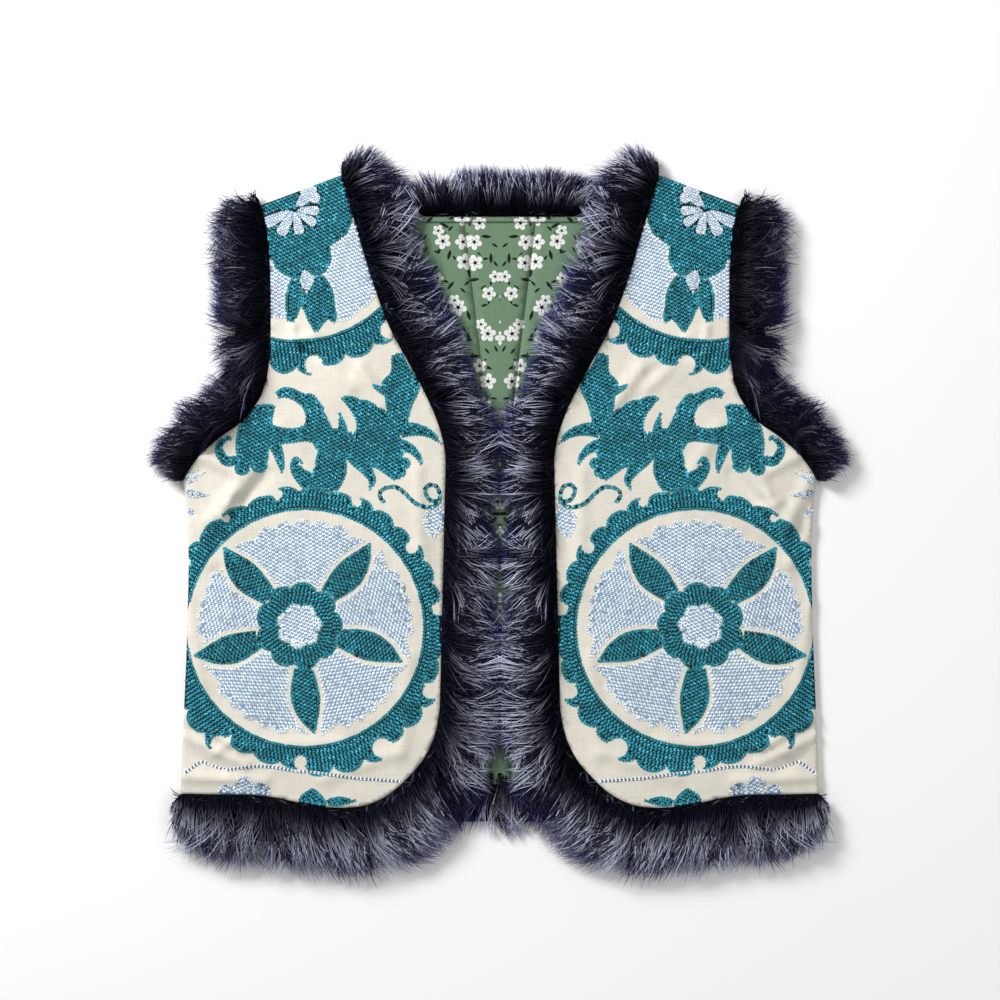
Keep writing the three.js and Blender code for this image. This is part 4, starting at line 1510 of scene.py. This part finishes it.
def underfur(name, trim, side):
    """The body of a trim under its hair: a low strip, extruded ring by ring along the seam."""
    first, last = trim.span()
    stops = np.linspace(first, last, max(6, int((last - first) / 7)))
    start, flow, reach, high, under, _ = trim.at(stops)
    shares = np.array([0.66, 0.0, 0.0, 0.1, 0.3, 0.5, 0.66])
    rise = np.array([0.0, 0.0, 0.1, 0.24, 0.3, 0.24, 0.08])
    shape = bmesh.new()
    face = None
    for p, w, r, h, u in zip(start, flow, reach, high, under):
        ring = [
            Vector((side * (p[0] + w[0] * r * s), p[1] + w[1] * r * s, max(u + h * z, 0.3))) * MM
            for s, z in zip(shares, rise)
        ]
        if face is None:
            face = shape.faces.new([shape.verts.new(v) for v in ring])
            continue
        grown = bmesh.ops.extrude_face_region(shape, geom=[face])["geom"]
        if len(shape.faces) > len(ring) + 2:
            bmesh.ops.delete(shape, geom=[face], context="FACES_ONLY")
        face = next(g for g in grown if isinstance(g, bmesh.types.BMFace))
        for vert, v in zip(face.verts, ring):
            vert.co = v
    bmesh.ops.recalc_face_normals(shape, faces=shape.faces[:])
    for f in shape.faces:
        f.smooth = True
    mesh = bpy.data.meshes.new(name)
    shape.to_mesh(mesh)
    shape.free()
    made = bpy.data.objects.new(name, mesh)
    bpy.context.scene.collection.objects.link(made)
    return made


# Each trim: the edge it is sewn to, whether it is paired, its number of hairs, how high they
# stand, how far they wander, their length and shade, the share of the reach at which they
# start, and its seed.
TRIMS = (
    ("front_edge", "front", True, 5600, 1.0, 1.0, 1.2, -0.07, 0.0, 21),
    ("front_hem", "hem", True, 2750, 1.0, 0.8, 1.12, 0.2, 0.0, 22),
    ("armhole_front", "armhole", True, 2600, 1.0, 1.0, 1.17, -0.33, 0.0, 23),
    ("armhole_back", "armhole", True, 500, 0.7, 1.0, 1.0, -0.25, 0.0, 24),
    ("back_neck", "back_neck", False, 1500, 1.0, 0.6, 1.06, 0.0, 0.0, 25),
    ("back_hem", "back_hem", False, 1700, 0.9, 0.9, 1.0, -0.12, -0.2, 26),
)


class WAISTCOAT_OT_fur(bpy.types.Operator):
    """Makes the fur trims: the underfur and the locks of hair over it"""

    bl_idname = "waistcoat.fur"
    bl_label = "Fur trims"

    def execute(self, context):
        settings = context.scene.waistcoat_fur
        hair, skin = hair_material(settings), skin_material(settings)
        front_ring = outline(FRONT_EDGES, 2.6)
        for name, edge, paired, count, *nature, seed in TRIMS:
            trim = Trim(name, edge)
            rng = np.random.default_rng(seed)
            over = front_ring if edge in FRONT_EDGES else None
            points, faces, uv = grow_hair(trim, count, settings.thick / MM, rng, over, *nature)
            words = SIDES if paired else {"": LEFT}
            for word, side in words.items():
                node = f"fur_{name}" + (f"_{word}" if word else "")
                grown = mesh_object(f"{node}_hair", points, faces, side, uv)
                finished(grown, hair, [node])
                finished(underfur(f"{node}_skin", trim, side), skin)
        return {"FINISHED"}


# ---- Sheets, stage and panel --------------------------------------------------------------


class WAISTCOAT_OT_sheets(bpy.types.Operator):
    """Lists the names of the stitches and fur of each front, and does nothing with them"""

    bl_idname = "waistcoat.sheets"
    bl_label = "Cut sizes"

    def execute(self, context):
        for word in SIDES:
            sewn = [f"front_{word}_{t}_stitches" for t in ("teal", "pale")]
            sewn += [f"fur_{t}_{word}_hair" for t in ("front_edge", "front_hem", "armhole_front")]
            sewn += [f"fur_{t}_{word}_skin" for t in ("front_edge", "front_hem", "armhole_front")]
        return {"FINISHED"}


class WAISTCOAT_OT_stage(bpy.types.Operator):
    """Makes the pale floor, the soft light and the camera straight above"""

    bl_idname = "waistcoat.stage"
    bl_label = "Floor, light and camera"

    def execute(self, context):
        settings, scene = context.scene.waistcoat_stage, context.scene
        shape = bmesh.new()
        bmesh.ops.create_grid(shape, x_segments=2, y_segments=2, size=3)
        mesh = bpy.data.meshes.new("floor")
        shape.to_mesh(mesh)
        shape.free()
        floor = bpy.data.objects.new("floor", mesh)
        scene.collection.objects.link(floor)
        material, _, shader = new_material("Pale floor", 0.95, 0.1)
        shader.inputs["Base Color"].default_value = rgb(settings.floor)
        mesh.materials.append(material)

        world = bpy.data.worlds.new("Soft studio")
        world.use_nodes = True
        sky = world.node_tree.nodes["Background"]
        sky.inputs[0].default_value = (1, 1, 1, 1)
        sky.inputs[1].default_value = 0.36
        scene.world = world
        lights = (("Key", (-1.3, 1.3, 1.2), 0.7, 56.0), ("Fill", (1.3, -0.6, 1.8), 1.6, 12.0))
        for name, place, size, power in lights:
            data = bpy.data.lights.new(name, "AREA")
            data.size, data.energy = size, power
            lamp = bpy.data.objects.new(name, data)
            lamp.location = place
            lamp.rotation_euler = (-Vector(place)).to_track_quat("-Z", "Y").to_euler()
            scene.collection.objects.link(lamp)

        data = bpy.data.cameras.new("Camera")
        data.lens, data.sensor_width = settings.lens, 36
        camera = bpy.data.objects.new("Camera", data)
        garment_level = 0.008
        camera.location = (0, 0.0068, garment_level + settings.across * settings.lens / data.sensor_width)
        scene.collection.objects.link(camera)
        scene.camera = camera
        scene.view_settings.view_transform = "Standard"
        return {"FINISHED"}


STEPS = (
    WAISTCOAT_OT_back,
    WAISTCOAT_OT_lining,
    WAISTCOAT_OT_fronts,
    WAISTCOAT_OT_fur,
    WAISTCOAT_OT_sheets,
    WAISTCOAT_OT_stage,
)


class WAISTCOAT_PT_panel(bpy.types.Panel):
    """Lists the steps that make the waistcoat"""

    bl_idname = "WAISTCOAT_PT_panel"
    bl_label = "Waistcoat"
    bl_space_type = "VIEW_3D"
    bl_region_type = "UI"
    bl_category = "Waistcoat"

    def draw(self, context):
        for step in STEPS:
            self.layout.operator(step.bl_idname)
        for _, attribute in GROUPS:
            settings = getattr(context.scene, attribute)
            box = self.layout.box()
            for key in settings.__annotations__:
                box.prop(settings, key)


GROUPS = (
    (WaistcoatCloth, "waistcoat_cloth"),
    (WaistcoatThread, "waistcoat_thread"),
    (WaistcoatFur, "waistcoat_fur"),
    (WaistcoatStage, "waistcoat_stage"),
)


def register():
    for group, attribute in GROUPS:
        bpy.utils.register_class(group)
        setattr(bpy.types.Scene, attribute, bpy.props.PointerProperty(type=group))
    for step in (*STEPS, WAISTCOAT_PT_panel):
        bpy.utils.register_class(step)


def unregister():
    for step in (WAISTCOAT_PT_panel, *reversed(STEPS)):
        bpy.utils.unregister_class(step)
    for group, attribute in reversed(GROUPS):
        delattr(bpy.types.Scene, attribute)
        bpy.utils.unregister_class(group)


def main():
    """Makes the waistcoat step by step."""
    register()
    for step in STEPS:
        group, name = step.bl_idname.split(".")
        getattr(getattr(bpy.ops, group), name)()


if __name__ == "__main__":
    main()
